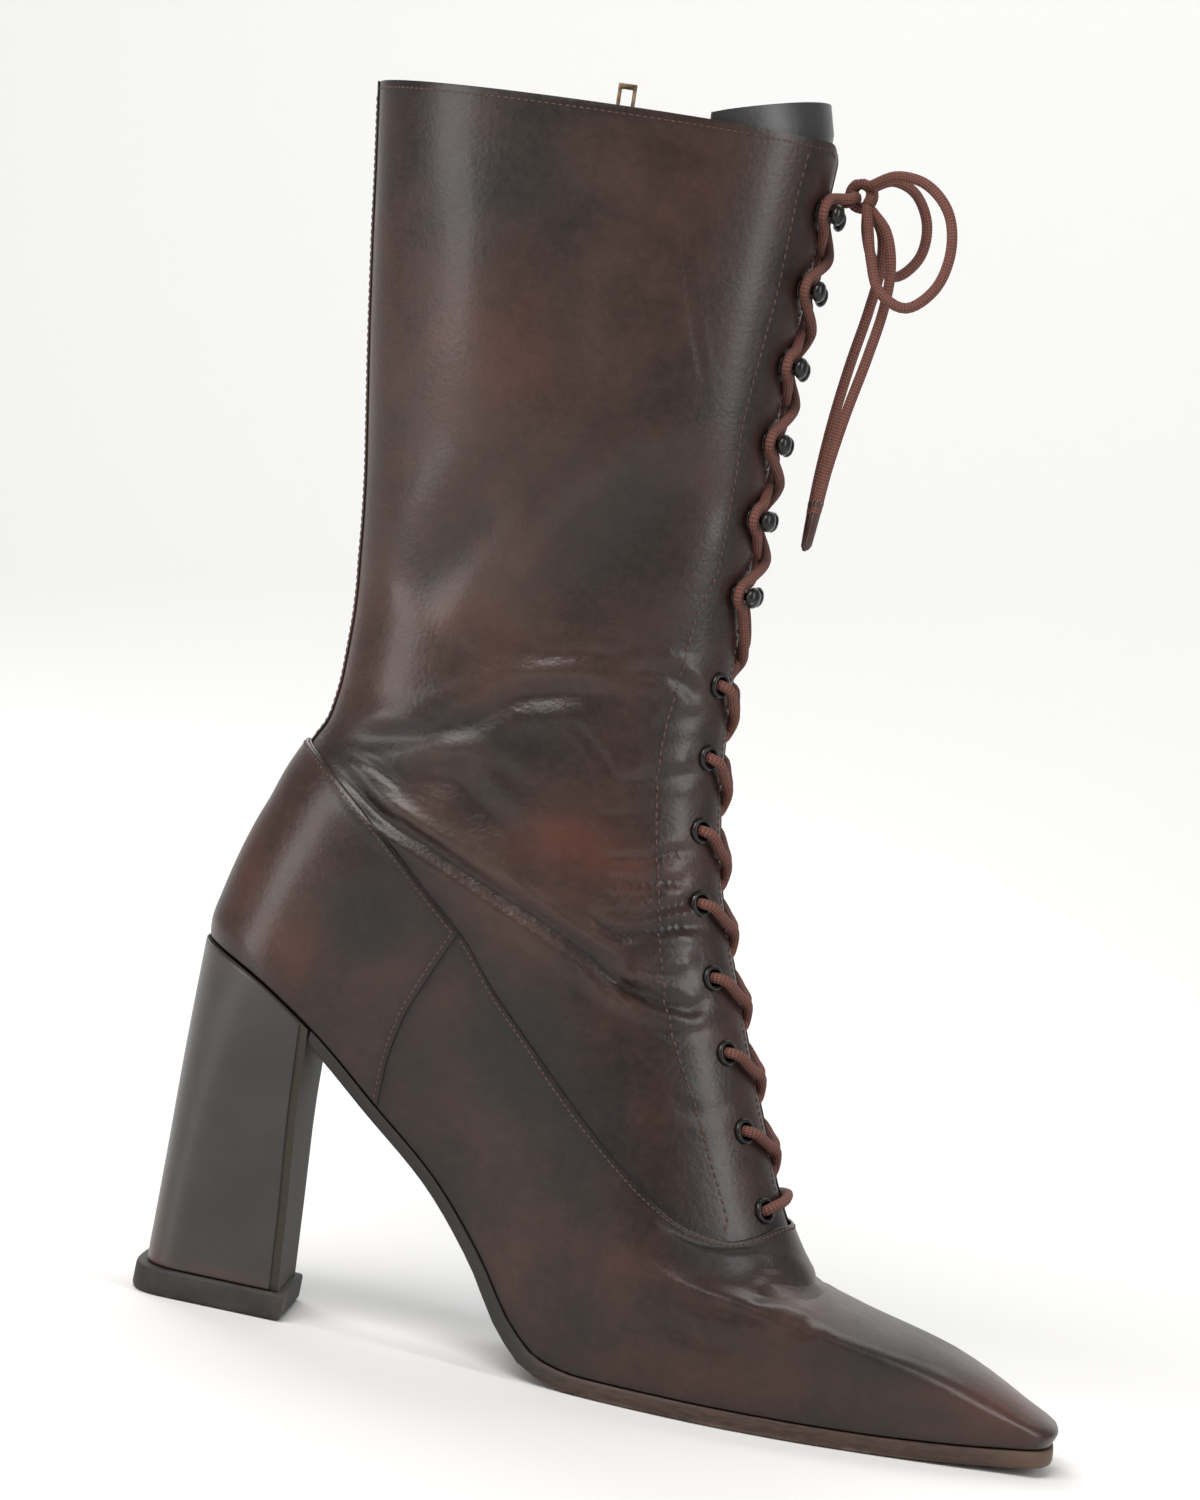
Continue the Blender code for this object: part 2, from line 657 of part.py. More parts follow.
def make_heel():
    """The block heel, covered in leather, and its rubber top piece."""
    foot = TOP_PIECE_HEIGHT + GAP
    loops = []
    for level, *outline in HEEL:

        def height(x, level=level):
            return foot + (sole_top(x) - SEAT_DROP - foot) * level

        loops.append(heel_loop(*outline, height))
    stacked("heel", loops, "heel_leather")
    rear_x, breast_x, half_width, corner, power = TOP_PIECE
    piece = []
    for inset, z in ((0.6, 0.0), (0.0, 0.8), (0.0, TOP_PIECE_HEIGHT)):
        outline = (rear_x + inset, breast_x - inset, half_width - inset, corner, power)
        piece.append(heel_loop(*outline, lambda x, z=z: z))
    stacked("top_piece", piece, "top_piece")


ZIP_TOP = 13.955  # section at which the zip's chain ends, just under the collar
SLIDER_SECTION = 13.86
ZIP_MIDDLE = 0.5
ZIP_TAPE_HALF = 0.05
ZIP_TAPE_THICKNESS = 0.9
CHAIN_WIDTH = 4.6
CHAIN_THICKNESS = 1.9


def make_zip():
    """The closed zip in the inner side: its tape behind the slot, the chain in it, the slider and the pull."""
    under = -(VAMP_STEP + WALL + GAP)
    levels = levels_between(ZIP_LOW - 0.25, COLLAR_SECTION)
    points = [
        surface(t, ZIP_MIDDLE + ZIP_TAPE_HALF * side, under) for t in levels for side in (-1, -0.4, 0.4, 1)
    ]
    tape = mesh_object("zip_tape", points, grid_faces(len(levels), 4), "tape")
    solidify(tape, ZIP_TAPE_THICKNESS, -1)
    levels = levels_between(ZIP_LOW + 0.05, ZIP_TOP)
    points = []
    for t in levels:
        middle = surface(t, ZIP_MIDDLE, under + GAP)
        along = (surface(t, ZIP_MIDDLE + 0.02) - surface(t, ZIP_MIDDLE - 0.02)).normalized()
        points += [middle - along * CHAIN_WIDTH / 2, middle, middle + along * CHAIN_WIDTH / 2]
    chain = mesh_object("zip_chain", points, grid_faces(len(levels), 3), "brass")
    solidify(chain, CHAIN_THICKNESS, 1)


def zip_frame():
    """The slider's own frame: x forward along the leather, y out of the boot, z up the zip."""
    outwards = normal(SLIDER_SECTION, ZIP_MIDDLE)
    up = surface(SLIDER_SECTION + 0.1, ZIP_MIDDLE) - surface(SLIDER_SECTION - 0.1, ZIP_MIDDLE)
    forward = outwards.cross(up).normalized()
    up = forward.cross(outwards)
    turn = Matrix((forward, outwards, up)).transposed().to_4x4()
    at = surface(SLIDER_SECTION, ZIP_MIDDLE, -VAMP_STEP)
    return Matrix.Translation(metres(at)) @ turn


def boxes(name, parts, finish, place):
    """One solid from overlapping boxes, each (low corner, high corner) in millimetres, joined in turn."""
    first = None
    for low, high in parts:
        data = bpy.data.meshes.new(name)
        shape = bmesh.new()
        bmesh.ops.create_cube(shape, size=1)
        for vert in shape.verts:
            share = [c + 0.5 for c in vert.co]
            vert.co = [(a + (b - a) * s) * MM for a, b, s in zip(low, high, share)]
        shape.to_mesh(data)
        shape.free()
        part = add(name if first is None else f"{name}_part", data, finish)
        part.matrix_world = place
        if first is None:
            first = part
            continue
        part.hide_render = True
        part.display_type = "WIRE"
        join = first.modifiers.new("join", "BOOLEAN")
        join.operation = "UNION"
        join.object = part
    return first


SLIDER_FACE = 2.0  # how far the slider's front plate stands out of the leather
PULL_AXIS_OUT = 3.8
PULL_LENGTH = 21.0


def make_slider_and_pull():
    place = zip_frame()
    face = SLIDER_FACE
    axis = PULL_AXIS_OUT
    boxes(
        "zip_slider",
        (
            ((-3.6, 0.55, -5.0), (3.6, face, 4.5)),
            ((-2.9, face - 0.4, -1.0), (-1.9, axis + 0.5, 0.6)),
            ((1.9, face - 0.4, -1.0), (2.9, axis + 0.5, 0.6)),
            ((-2.4, axis - 0.35, -0.35), (2.4, axis + 0.35, 0.35)),
        ),
        "brass",
        place,
    )
    top = PULL_LENGTH
    thick = 0.5
    boxes(
        "zip_pull",
        (
            ((-1.5, -1.05, -1.05), (1.5, 1.05, -0.62)),
            ((-1.5, -1.05, 0.62), (1.5, 1.05, 1.05)),
            ((-1.5, 0.62, -1.05), (1.5, 1.05, 1.05)),
            ((-1.5, -1.05, -1.05), (1.5, -0.62, 1.05)),
            ((-1.5, -thick, 0.8), (1.5, thick, 4.0)),
            ((-2.5, -thick, 3.4), (2.5, thick, 5.4)),
            ((-2.5, -thick, 5.0), (-1.5, thick, top - 0.9)),
            ((1.5, -thick, 5.0), (2.5, thick, top - 0.9)),
            ((-2.5, -thick, top - 1.5), (2.5, thick, top)),
        ),
        "brass",
        place @ Matrix.Translation((0, axis * MM, 0)),
    )


def smooth_line(route, count):
    """Points along a smooth curve through the route's own points (Catmull-Rom)."""
    ends = [route[0] * 2 - route[1], *route, route[-1] * 2 - route[-2]]
    line = []
    for i in range(count):
        s = (len(route) - 1) * i / (count - 1)
        k = min(int(s), len(route) - 2)
        s -= k
        a, b, c, d = ends[k : k + 4]
        line.append(
            (2 * b + (c - a) * s + (2 * a - 5 * b + 4 * c - d) * s**2 + (3 * b - a - 3 * c + d) * s**3) / 2
        )
    return line


def tube(name, line, diameter, finish, resolution=2):
    """A round cord along a line, in millimetres of the tables."""
    data = bpy.data.curves.new(name, "CURVE")
    data.dimensions = "3D"
    data.bevel_depth = diameter / 2 * MM
    data.bevel_resolution = resolution
    data.use_fill_caps = True
    spline = data.splines.new("POLY")
    spline.points.add(len(line) - 1)
    for point, at in zip(spline.points, line):
        point.co = (*metres(at), 1)
    return add(name, data, finish)


def at_seat(row, side, up, away, out):
    """A point by an eyelet or hook: up the boot, away from the throat and out of the leather."""
    at = seat(row, side) @ (Vector((up, -side * away, out)) * MM)
    return Vector((at.x / MM + ORIGIN_X, at.y / MM + ORIGIN_Y, at.z / MM))


def lace_strand(first_side):
    """One strand of the crossings: from side to side up the rows, round the back of each hook's neck, and
    from the top hook to the knot."""
    side = first_side
    lift = STRAND_LIFT * first_side
    line = [at_seat(0, side, 0, 0, LACE_OVER_EYELET)]
    for row in range(1, ROWS_OF_EYELETS + ROWS_OF_HOOKS):
        side = -side
        t = (row_section(row - 1) + row_section(row)) / 2
        line.append(surface(t, 0, LACE_AT_CROSSING - VAMP_STEP + lift))
        if row < ROWS_OF_EYELETS:
            line.append(at_seat(row, side, 0, 0, LACE_OVER_EYELET))
            continue
        line += [at_seat(row, side, up, away, LACE_AT_HOOK) for up, away in ((-2.4, 1.9), (0.0, 3.1), (2.4, 1.9))]
    at_knot = KNOT + Vector((-1.0, side * (KNOT_RADII[1] + 0.3), -0.7))
    return [*line, (line[-1] + at_knot) / 2 + Vector((1.0, 0, 0)), at_knot]


def make_lace():
    """The crossings of the lace over the eyelets, as one solid that stays clear of the leather."""
    strands = [tube(f"strand_{i}", lace_strand(s), LACE_DIAMETER, "lace", 1) for i, s in enumerate((-1, 1))]
    lace = None
    for strand in strands:
        graph = bpy.context.evaluated_depsgraph_get()
        data = bpy.data.meshes.new_from_object(strand.evaluated_get(graph))
        fix = bmesh.new()
        fix.from_mesh(data)
        bmesh.ops.remove_doubles(fix, verts=fix.verts, dist=0.001 * MM)
        bmesh.ops.recalc_face_normals(fix, faces=fix.faces)
        fix.to_mesh(data)
        fix.free()
        bpy.data.objects.remove(strand)
        if lace is None:
            lace = bpy.data.objects.new("lace", data)
            bpy.context.scene.collection.objects.link(lace)
            continue
        other = bpy.data.objects.new("lace_other_strand", data)
        bpy.context.scene.collection.objects.link(other)
        other.hide_render = True
        other.display_type = "WIRE"
        join = lace.modifiers.new("join", "BOOLEAN")
        join.operation = "UNION"
        join.object = other


def cord_line(route):
    """Points along a cord, every 2 to 3 diameters, through its route's own points."""
    length = sum((b - a).length for a, b in zip(route, route[1:]))
    return smooth_line(route, round(length / (2.5 * LACE_DIAMETER)) + 1)


def make_bow():
    """The knot, its two loops and two ends with their tips: all the free part of the lace."""
    n = 5
    profile = [(math.sin(math.pi * i / n), -math.cos(math.pi * i / n)) for i in range(n + 1)]
    profile = [(max(r, 0.12) * KNOT_RADII[1], h * KNOT_RADII[2]) for r, h in profile]
    place = Matrix.Translation(metres(KNOT)) @ Matrix.Diagonal((KNOT_RADII[0] / KNOT_RADII[1], 1, 1, 1))
    lathe("lace_knot", profile, 8, "lace", place, steps_closed=False)
    for name, route in BOW.items():
        line = [Vector(point) for point in route]
        tube(name, cord_line(line), LACE_DIAMETER, "lace")
        if "end" not in name:
            continue
        tip, along = line[-1], (line[-1] - line[-2]).normalized()
        turn = along.to_track_quat("Z", "Y").to_matrix().to_4x4()
        place = Matrix.Translation(metres(tip + along * GAP)) @ turn
        barrel = ((AGLET_RADIUS, 0.0), (AGLET_RADIUS, AGLET_LENGTH - 0.6), (AGLET_RADIUS * 0.6, AGLET_LENGTH))
        lathe(name.replace("end", "tip"), barrel, 8, "aglet", place, steps_closed=False)


def main():
    for old in list(bpy.data.objects):
        bpy.data.objects.remove(old)
    make_upper()
    make_counter()
    make_tongue()
    make_insole()
    make_outsole()
    make_heel()
    make_zip()
    make_slider_and_pull()
    make_eyelets()
    make_hooks()
    make_lace()
    make_bow()


main()
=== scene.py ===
# %% [markdown]
# This lesson dresses a lace-up boot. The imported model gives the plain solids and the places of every
# eyelet, hook and seam. The scene adds what a maker would see: lasted leather with its folds, stitches, a
# round lace, enamelled hooks and a worn heel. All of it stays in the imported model's own frame, in metres.

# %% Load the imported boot
import json
import math

import bmesh
import bpy
import numpy as np
from mathutils import Matrix, Vector

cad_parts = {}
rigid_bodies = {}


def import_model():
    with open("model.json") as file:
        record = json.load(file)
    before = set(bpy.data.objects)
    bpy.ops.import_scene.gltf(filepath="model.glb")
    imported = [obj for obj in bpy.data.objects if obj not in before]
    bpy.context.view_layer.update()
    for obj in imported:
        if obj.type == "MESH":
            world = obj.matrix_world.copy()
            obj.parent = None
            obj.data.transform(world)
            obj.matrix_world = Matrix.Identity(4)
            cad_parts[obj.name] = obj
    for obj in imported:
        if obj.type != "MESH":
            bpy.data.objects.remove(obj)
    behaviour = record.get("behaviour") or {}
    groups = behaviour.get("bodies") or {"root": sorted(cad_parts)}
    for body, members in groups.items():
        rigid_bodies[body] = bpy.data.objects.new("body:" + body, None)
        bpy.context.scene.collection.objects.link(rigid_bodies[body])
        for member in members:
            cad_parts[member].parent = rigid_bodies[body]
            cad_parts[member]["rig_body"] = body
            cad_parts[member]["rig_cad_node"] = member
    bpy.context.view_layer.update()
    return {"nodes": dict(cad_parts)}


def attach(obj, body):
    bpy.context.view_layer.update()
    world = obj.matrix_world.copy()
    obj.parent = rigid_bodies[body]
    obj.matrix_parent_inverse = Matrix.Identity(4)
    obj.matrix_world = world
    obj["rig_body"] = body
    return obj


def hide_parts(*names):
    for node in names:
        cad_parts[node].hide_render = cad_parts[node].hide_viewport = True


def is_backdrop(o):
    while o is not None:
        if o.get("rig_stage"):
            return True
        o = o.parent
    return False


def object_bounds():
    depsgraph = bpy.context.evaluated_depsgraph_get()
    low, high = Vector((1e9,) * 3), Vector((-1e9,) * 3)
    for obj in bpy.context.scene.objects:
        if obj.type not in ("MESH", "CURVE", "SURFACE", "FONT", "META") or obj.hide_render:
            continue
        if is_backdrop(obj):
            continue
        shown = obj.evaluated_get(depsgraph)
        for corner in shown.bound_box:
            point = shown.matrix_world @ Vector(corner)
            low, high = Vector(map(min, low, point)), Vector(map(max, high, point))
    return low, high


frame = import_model()

# %% [markdown]
# A boot is drawn from its last, the wooden foot that the leather is pulled over. The last is written down
# here as a short table of sections, in millimetres from the back of the heel: each one runs from a point on
# the boot's back to a point on its front. A smooth curve through the table gives any point in between, so
# the leather, its stitches and the lace can all be placed by the same two numbers.

# %% The last, as sections from the sole up to the collar
MM = 0.001
ORIGIN_X = 123.6
ORIGIN_Y = 2.5
VAMP_STEP = 0.8
SEAM = 7.0
COLLAR = 14.0
THROAT = 0.035
ZIP_FRONT = 0.478
ZIP_BACK = 0.522
BACK_POWER = 2.1
DIP_MIDDLE = 145
DIP_REACH = 32
SOLE_X = (0, 18, 36, 56, 74, 90, 102, 111, 122, 190, 218, 248)
SOLE_TOP = (94.5, 87.5, 76.5, 60.5, 46, 28.8, 13, 6.3, 4.5, 4.5, 5.2, 7.3)
SOLE_THICK = (3, 3, 3, 3, 3, 3.2, 3.8, 4.3, 4.5, 4.5, 4.5, 4.5)
FOOT_X = (0, 25, 50, 75, 95, 115, 135, 155, 175, 195, 215, 235, 248)
FOOT_CENTRE = (0, 0, -0.5, -2, -2, -1, 0.2, 1, 2, 3, 3.7, 4.3, 4.5)
FOOT_HALF = (24.8, 25.6, 23.8, 22, 25.5, 31.5, 36.2, 37.8, 36.2, 31.8, 25.6, 18.6, 15)
# back x and z, front x and z, arch followed, dip, foot share, leg half width, front and back cap, front power
SECTIONS = np.array((
    (3.6, 93.4, 244.6, 7.4, 1.00, 0.0, 1.00, 30.0, 9.0, 25.0, 3.0),
    (3.2, 98.0, 246.0, 11.0, 1.00, 0.0, 0.97, 30.5, 11.0, 25.5, 2.9),
    (4.4, 105.0, 237.0, 16.3, 1.00, 0.0, 0.92, 31.0, 15.0, 27.0, 2.5),
    (6.6, 115.0, 218.0, 25.0, 1.00, 0.0, 0.84, 32.0, 27.0, 28.0, 2.3),
    (9.3, 124.5, 194.0, 30.8, 1.00, 0.5, 0.74, 32.0, 42.0, 29.0, 2.2),
    (11.8, 131.5, 178.0, 36.0, 0.98, 2.0, 0.65, 32.0, 50.0, 30.0, 2.1),
    (14.5, 140.0, 171.3, 44.5, 0.91, 5.0, 0.55, 31.5, 53.0, 32.0, 2.1),
    (18.4, 149.0, 167.3, 52.5, 0.80, 11.0, 0.45, 31.0, 55.0, 34.0, 2.1),
    (21.8, 157.0, 156.5, 76.0, 0.64, 4.0, 0.25, 30.0, 57.0, 38.0, 2.1),
    (22.8, 168.0, 143.0, 106.0, 0.40, 0.5, 0.10, 29.0, 56.0, 42.0, 2.1),
    (22.6, 181.0, 131.5, 137.0, 0.18, 0.0, 0.00, 28.5, 54.0, 46.0, 2.1),
    (21.4, 196.0, 126.0, 170.0, 0.04, 0.0, 0.00, 28.5, 52.5, 50.0, 2.1),
    (18.4, 219.0, 123.6, 208.0, 0.00, 0.0, 0.00, 31.0, 53.0, 51.0, 2.1),
    (11.4, 260.0, 122.9, 258.0, 0.00, 0.0, 0.00, 36.0, 56.0, 54.0, 2.1),
    (1.6, 320.5, 124.6, 327.5, 0.00, 0.0, 0.00, 40.3, 61.5, 60.5, 2.1),
))


def smooth(keys, values, at):
    """A smooth curve through the values at the keys, which never swings past them."""
    keys, values = np.asarray(keys, float), np.asarray(values, float)
    slopes = (np.diff(values, axis=0).T / np.diff(keys)).T
    tangents = np.concatenate((slopes[:1], slopes))
    product, total = slopes[:-1] * slopes[1:], slopes[:-1] + slopes[1:]
    tangents[1:-1] = np.where(product > 0, 2 * product / np.where(total == 0, 1, total), 0)
    at = np.clip(at, keys[0], keys[-1])
    i = np.clip(np.searchsorted(keys, at, side="right") - 1, 0, len(keys) - 2)
    span = keys[i + 1] - keys[i]
    s = (at - keys[i]) / span
    if values.ndim > 1:
        span, s = span[..., None], s[..., None]
    return (
        (2 * s**3 - 3 * s**2 + 1) * values[i]
        + (s**3 - 2 * s**2 + s) * span * tangents[i]
        + (3 * s**2 - 2 * s**3) * values[i + 1]
        + (s**3 - s**2) * span * tangents[i + 1]
    )


def rounding(from_end, cap, power):
    """1 away from a section's end, falling to 0 at it as a superellipse does."""
    left = np.clip(1 - from_end / cap, 0, 1)
    return (1 - left**power) ** (1 / power)


def ring(t, v):
    """Points of the last in table millimetres. v is 0 at the front and -1 or 1 at the back."""
    t, v = np.broadcast_arrays(np.asarray(t, float), np.asarray(v, float))
    v = (v + 1) % 2 - 1
    numbers = np.arange(len(SECTIONS))
    row = smooth(numbers, SECTIONS, t)
    back_x, back_z, front_x, front_z, *shape = np.moveaxis(row, -1, 0)
    follow, dip, foot, leg, front_cap, back_cap, power = shape
    along = (1 - np.cos(np.pi * np.abs(v))) / 2
    x = front_x - (front_x - back_x) * along
    half = foot * smooth(FOOT_X, FOOT_HALF, x) + (1 - foot) * leg
    half = half * rounding(front_x - x, front_cap, power) * rounding(x - back_x, back_cap, BACK_POWER)
    y = foot * smooth(FOOT_X, FOOT_CENTRE, x) + np.sign(v) * half
    back_lift = back_z - smooth(SOLE_X, SOLE_TOP, back_x)
    front_lift = front_z - smooth(SOLE_X, SOLE_TOP, front_x)
    arched = smooth(SOLE_X, SOLE_TOP, x) + front_lift + (back_lift - front_lift) * along
    level = front_z + (back_z - front_z) * along
    z = follow * arched + (1 - follow) * level
    z -= dip * np.cos(np.pi / 2 * np.clip(np.abs(x - DIP_MIDDLE) / DIP_REACH, 0, 1)) ** 2
    return np.stack((x, y, z), axis=-1)


def unit(vectors):
    return vectors / np.maximum(np.linalg.norm(vectors, axis=-1, keepdims=True), 1e-9)


def lengths_along(line):
    """How far along a line each of its points lies."""
    return np.concatenate(([0], np.cumsum(np.linalg.norm(np.diff(line, axis=0), axis=1))))


def between(at, lengths, values):
    """Rows of three values, read off at the given lengths."""
    return np.stack([np.interp(at, lengths, values[:, i]) for i in range(3)], axis=1)


def outwards(t, v):
    """The direction out of the last."""
    t = np.asarray(t, float)
    up = ring(np.minimum(t + 0.02, COLLAR), v) - ring(np.maximum(t - 0.02, 0), v)
    return unit(np.cross(ring(t, v + 0.004) - ring(t, v - 0.004), up))


def last(t, v, out=0.0):
    """Points of the last moved outwards by out, in table millimetres."""
    v = np.asarray(v, float)
    return ring(t, v) + outwards(t, v) * np.asarray(out, float)[..., None]


def metres(points):
    """The frame's metres for points in table millimetres."""
    return (np.asarray(points, float) - (ORIGIN_X, ORIGIN_Y, 0)) * MM


print("collar", np.round(last(COLLAR, np.array((0.0, 0.5, 1.0))), 1).tolist())

# %% [markdown]
# The camera stands where the photograph's did: level with the shaft, 1.3 m off the outer side. The boot in
# the photograph lies turned by 11.5 degrees, so here the boot stands upright and the camera is rolled
# instead. It keeps its place and looks at the middle of the one boot, with a lens that lets the boot fill
# the picture.

# %% Camera at the photograph's angle
eye = Vector(metres((168, -1300, 230)))
aim = Vector(metres((93, 2.5, 161)))
roll = math.radians(11.5)
look = (aim - eye).normalized()
level_right = look.cross(Vector((0, 0, 1))).normalized()
level_up = level_right.cross(look)
right = level_right * math.cos(roll) + level_up * math.sin(roll)
up = level_up * math.cos(roll) - level_right * math.sin(roll)
camera = bpy.data.objects.new("camera", bpy.data.cameras.new("camera"))
bpy.context.scene.collection.objects.link(camera)
camera.matrix_world = Matrix.Translation(eye) @ Matrix((right, up, -look)).transposed().to_4x4()
camera.data.sensor_fit = "VERTICAL"
camera.data.sensor_height = 30
camera.data.lens = 100
camera.data.clip_end = 20
bpy.context.scene.camera = camera
print("camera", [round(c, 3) for c in eye])

# %% [markdown]
# The lace is a round braided cord, 2.8 mm thick. It could be a curve with a bevel, but a braid has to
# follow the cord round every bend, so each cord is a swept tube that carries its own map: across is the way
# round the cord, and up is the length along it in millimetres. The knot, the loops and the ends are free
# cords. The crossings are held by the boot.

# %% Lace helpers
LACE = 2.8


def through(points, spacing):
    """A smooth line through the given points, with points about spacing apart."""
    points = np.asarray(points, float)
    steps = np.linalg.norm(np.diff(points, axis=0), axis=1) ** 0.5
    keys = np.concatenate(([0], np.cumsum(steps)))
    ends = (2 * points[:1] - points[1:2], points, 2 * points[-1:] - points[-2:-1])
    padded = np.concatenate(ends)
    knots = np.concatenate(([keys[0] - steps[0]], keys, [keys[-1] + steps[-1]]))
    line = []
    for i in range(1, len(padded) - 2):
        t0, t1, t2, t3 = knots[i - 1:i + 3]
        p0, p1, p2, p3 = padded[i - 1:i + 3]
        for t in np.linspace(t1, t2, 24, endpoint=False):
            a1 = p0 * (t1 - t) / (t1 - t0) + p1 * (t - t0) / (t1 - t0)
            a2 = p1 * (t2 - t) / (t2 - t1) + p2 * (t - t1) / (t2 - t1)
            a3 = p2 * (t3 - t) / (t3 - t2) + p3 * (t - t2) / (t3 - t2)
            b1 = a1 * (t2 - t) / (t2 - t0) + a2 * (t - t0) / (t2 - t0)
            b2 = a2 * (t3 - t) / (t3 - t1) + a3 * (t - t1) / (t3 - t1)
            line.append(b1 * (t2 - t) / (t2 - t1) + b2 * (t - t1) / (t2 - t1))
    line = np.array([*line, points[-1]])
    length = lengths_along(line)
    count = max(3, round(length[-1] / spacing) + 1)
    at = np.linspace(0, length[-1], count)
    return between(at, length, line)


def add_mesh(name, points, faces, uv=None):
    """A mesh piece from points in metres."""
    data = bpy.data.meshes.new(name)
    data.from_pydata([tuple(p) for p in points], [], faces)
    if uv is not None:
        layer = data.uv_layers.new(name="UVMap")
        layer.data.foreach_set("uv", np.asarray(uv, float).ravel())
    piece = bpy.data.objects.new(name, data)
    bpy.context.scene.collection.objects.link(piece)
    data.shade_smooth()
    return piece


def sweep(name, line, radius, sides=14):
    """A tube along a line of table millimetres, with a map of turns across and millimetres along."""
    line = np.asarray(line, float)
    count = len(line)
    radii = np.full(count, radius) if np.isscalar(radius) else np.asarray(radius, float)
    along = unit(np.gradient(line, axis=0))
    side = unit(np.cross(along[0], (0.3, 0.2, 1.0)))
    frames = []
    for i in range(count):
        side = unit(side - along[i] * np.dot(side, along[i]))
        frames.append((side, np.cross(along[i], side)))
    # a rounded end narrows in two rings: how wide each is and how far past the line, in radii
    caps = ((0.75, 0.55), (0.5, 0.85))
    low = [(0, radii[0] * wide, -radii[0] * past) for wide, past in reversed(caps)]
    high = [(count - 1, radii[-1] * wide, radii[-1] * past) for wide, past in caps]
    rings = low + [(i, radii[i], 0.0) for i in range(count)] + high
    length = lengths_along(line)
    points, marks = [], []
    for i, wide, past in rings:
        centre = line[i] + along[i] * past
        marks.append(length[i] + past)
        across, over = frames[i]
        for k in range(sides):
            angle = math.tau * k / sides
            points.append(centre + wide * (across * math.cos(angle) + over * math.sin(angle)))
    faces, uv = [], []
    for r in range(len(rings) - 1):
        for k in range(sides):
            j = (k + 1) % sides
            faces.append((r * sides + k, r * sides + j, (r + 1) * sides + j, (r + 1) * sides + k))
            corners = ((k, r), (k + 1, r), (k + 1, r + 1), (k, r + 1))
            uv += [(a / sides, marks[b]) for a, b in corners]
    for r, order in ((0, range(sides - 1, -1, -1)), (len(rings) - 1, range(sides))):
        faces.append(tuple(r * sides + k for k in order))
        uv += [(k / sides, marks[r]) for k in order]
    return add_mesh(name, metres(points), faces, uv)


def length_of(line):
    return float(np.linalg.norm(np.diff(line, axis=0), axis=1).sum())


def hand_over(piece, node=None, body="boot"):
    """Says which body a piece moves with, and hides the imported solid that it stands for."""
    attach(piece, body)
    if node is not None:
        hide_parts(node)


# %% The bow: two loops, two ends and the knot
BOW = {
    "lace_loop_outer": (
        (133.0, -4.4, 318.2), (139.0, -7.2, 321.6), (147.0, -10.6, 320.8), (154.0, -13.4, 314.6),
        (156.6, -14.8, 304.8), (154.6, -15.0, 294.8), (148.2, -14.0, 288.6), (140.8, -11.8, 291.4),
        (136.8, -8.8, 299.4), (134.4, -6.0, 307.6), (133.0, -4.2, 312.2),
    ),
    "lace_loop_inner": (
        (133.0, 4.4, 318.2), (138.0, 8.0, 321.2), (144.2, 12.4, 319.6), (148.8, 16.0, 312.4),
        (148.6, 17.6, 303.6), (143.4, 16.2, 297.4), (137.4, 12.0, 299.8), (134.0, 7.6, 306.6),
        (133.0, 4.4, 312.2),
    ),
    "lace_end_outer": (
        (134.4, -1.8, 312.0), (139.0, -2.9, 307.6), (142.0, -4.0, 299.5), (142.6, -4.8, 289.0),
        (141.0, -5.4, 275.0), (138.4, -5.8, 259.0), (136.6, -6.0, 244.0), (136.0, -6.0, 233.0),
    ),
    "lace_end_inner": (
        (134.4, 1.8, 312.0), (138.0, 3.6, 307.0), (139.4, 5.2, 298.5), (138.6, 6.4, 287.0),
        (136.6, 7.0, 272.0), (135.2, 7.2, 257.0), (134.6, 7.2, 243.0), (134.6, 7.2, 232.5),
    ),
}
bow_cords = {}
for name, route in BOW.items():
    line = through(route, 1.4)
    bow_cords[name] = (sweep(f"{name}_braid", line, LACE / 2), line)
    print(name, round(length_of(line), 1), "mm")

# %% The aglets, turned from a small circle
for name in ("lace_end_outer", "lace_end_inner"):
    cord, line = bow_cords[name]
    along = unit(line[-1] - line[-4])
    profile = ((-3.0, 1.46), (-2.4, 1.5), (-1.0, 1.34), (5.5, 1.22), (8.6, 1.1), (9.1, 0.8))
    barrel = through([line[-1] + along * (at + 0.3) for at in (-3.0, 9.1)], 0.4)
    reach = np.linspace(-3.0, 9.1, len(barrel))
    radii = np.interp(reach, [p[0] for p in profile], [p[1] for p in profile])
    aglet = sweep(name.replace("end", "tip") + "_sleeve", barrel, radii, sides=12)
    hand_over(aglet, name.replace("end", "tip"))
    bow_cords[name] = (cord, line, aglet)

# %% The knot, wound from the same cord
KNOT = np.array((131.0, 0.0, 315.5))
wraps = []
for i in range(41):
    turn = math.tau * 1.35 * i / 40 - 0.6
    wraps.append(KNOT + (2.4 * math.cos(turn), -3.2 + 6.4 * i / 40, 3.0 * math.sin(turn)))
band = []
for i in range(25):
    turn = math.tau * 0.8 * i / 24 + 2.2
    band.append(KNOT + (3.0 * math.cos(turn), 1.1 * math.sin(turn * 1.3), 3.4 * math.sin(turn)))
knot_wrap = sweep("lace_knot_wrap", through(wraps, 0.9), 1.35)
knot_band = sweep("lace_knot_band", through(band, 0.9), 1.35)
hand_over(knot_wrap, "lace_knot")
hand_over(knot_band)

for name, (cord, line, *aglet) in bow_cords.items():
    hand_over(cord, name)
    "loop" in name

# %% [markdown]
# The folds decide how worn the boot looks. A sculpting brush could draw them, but a fold list keeps them
# where they belong: each one is a line of points on the boot's side, with a width, a depth and soft ends. A
# trough has a low ridge on either side, as pinched leather does. The break of the ankle carries the deep
# ones, and the shaft only slack waves.

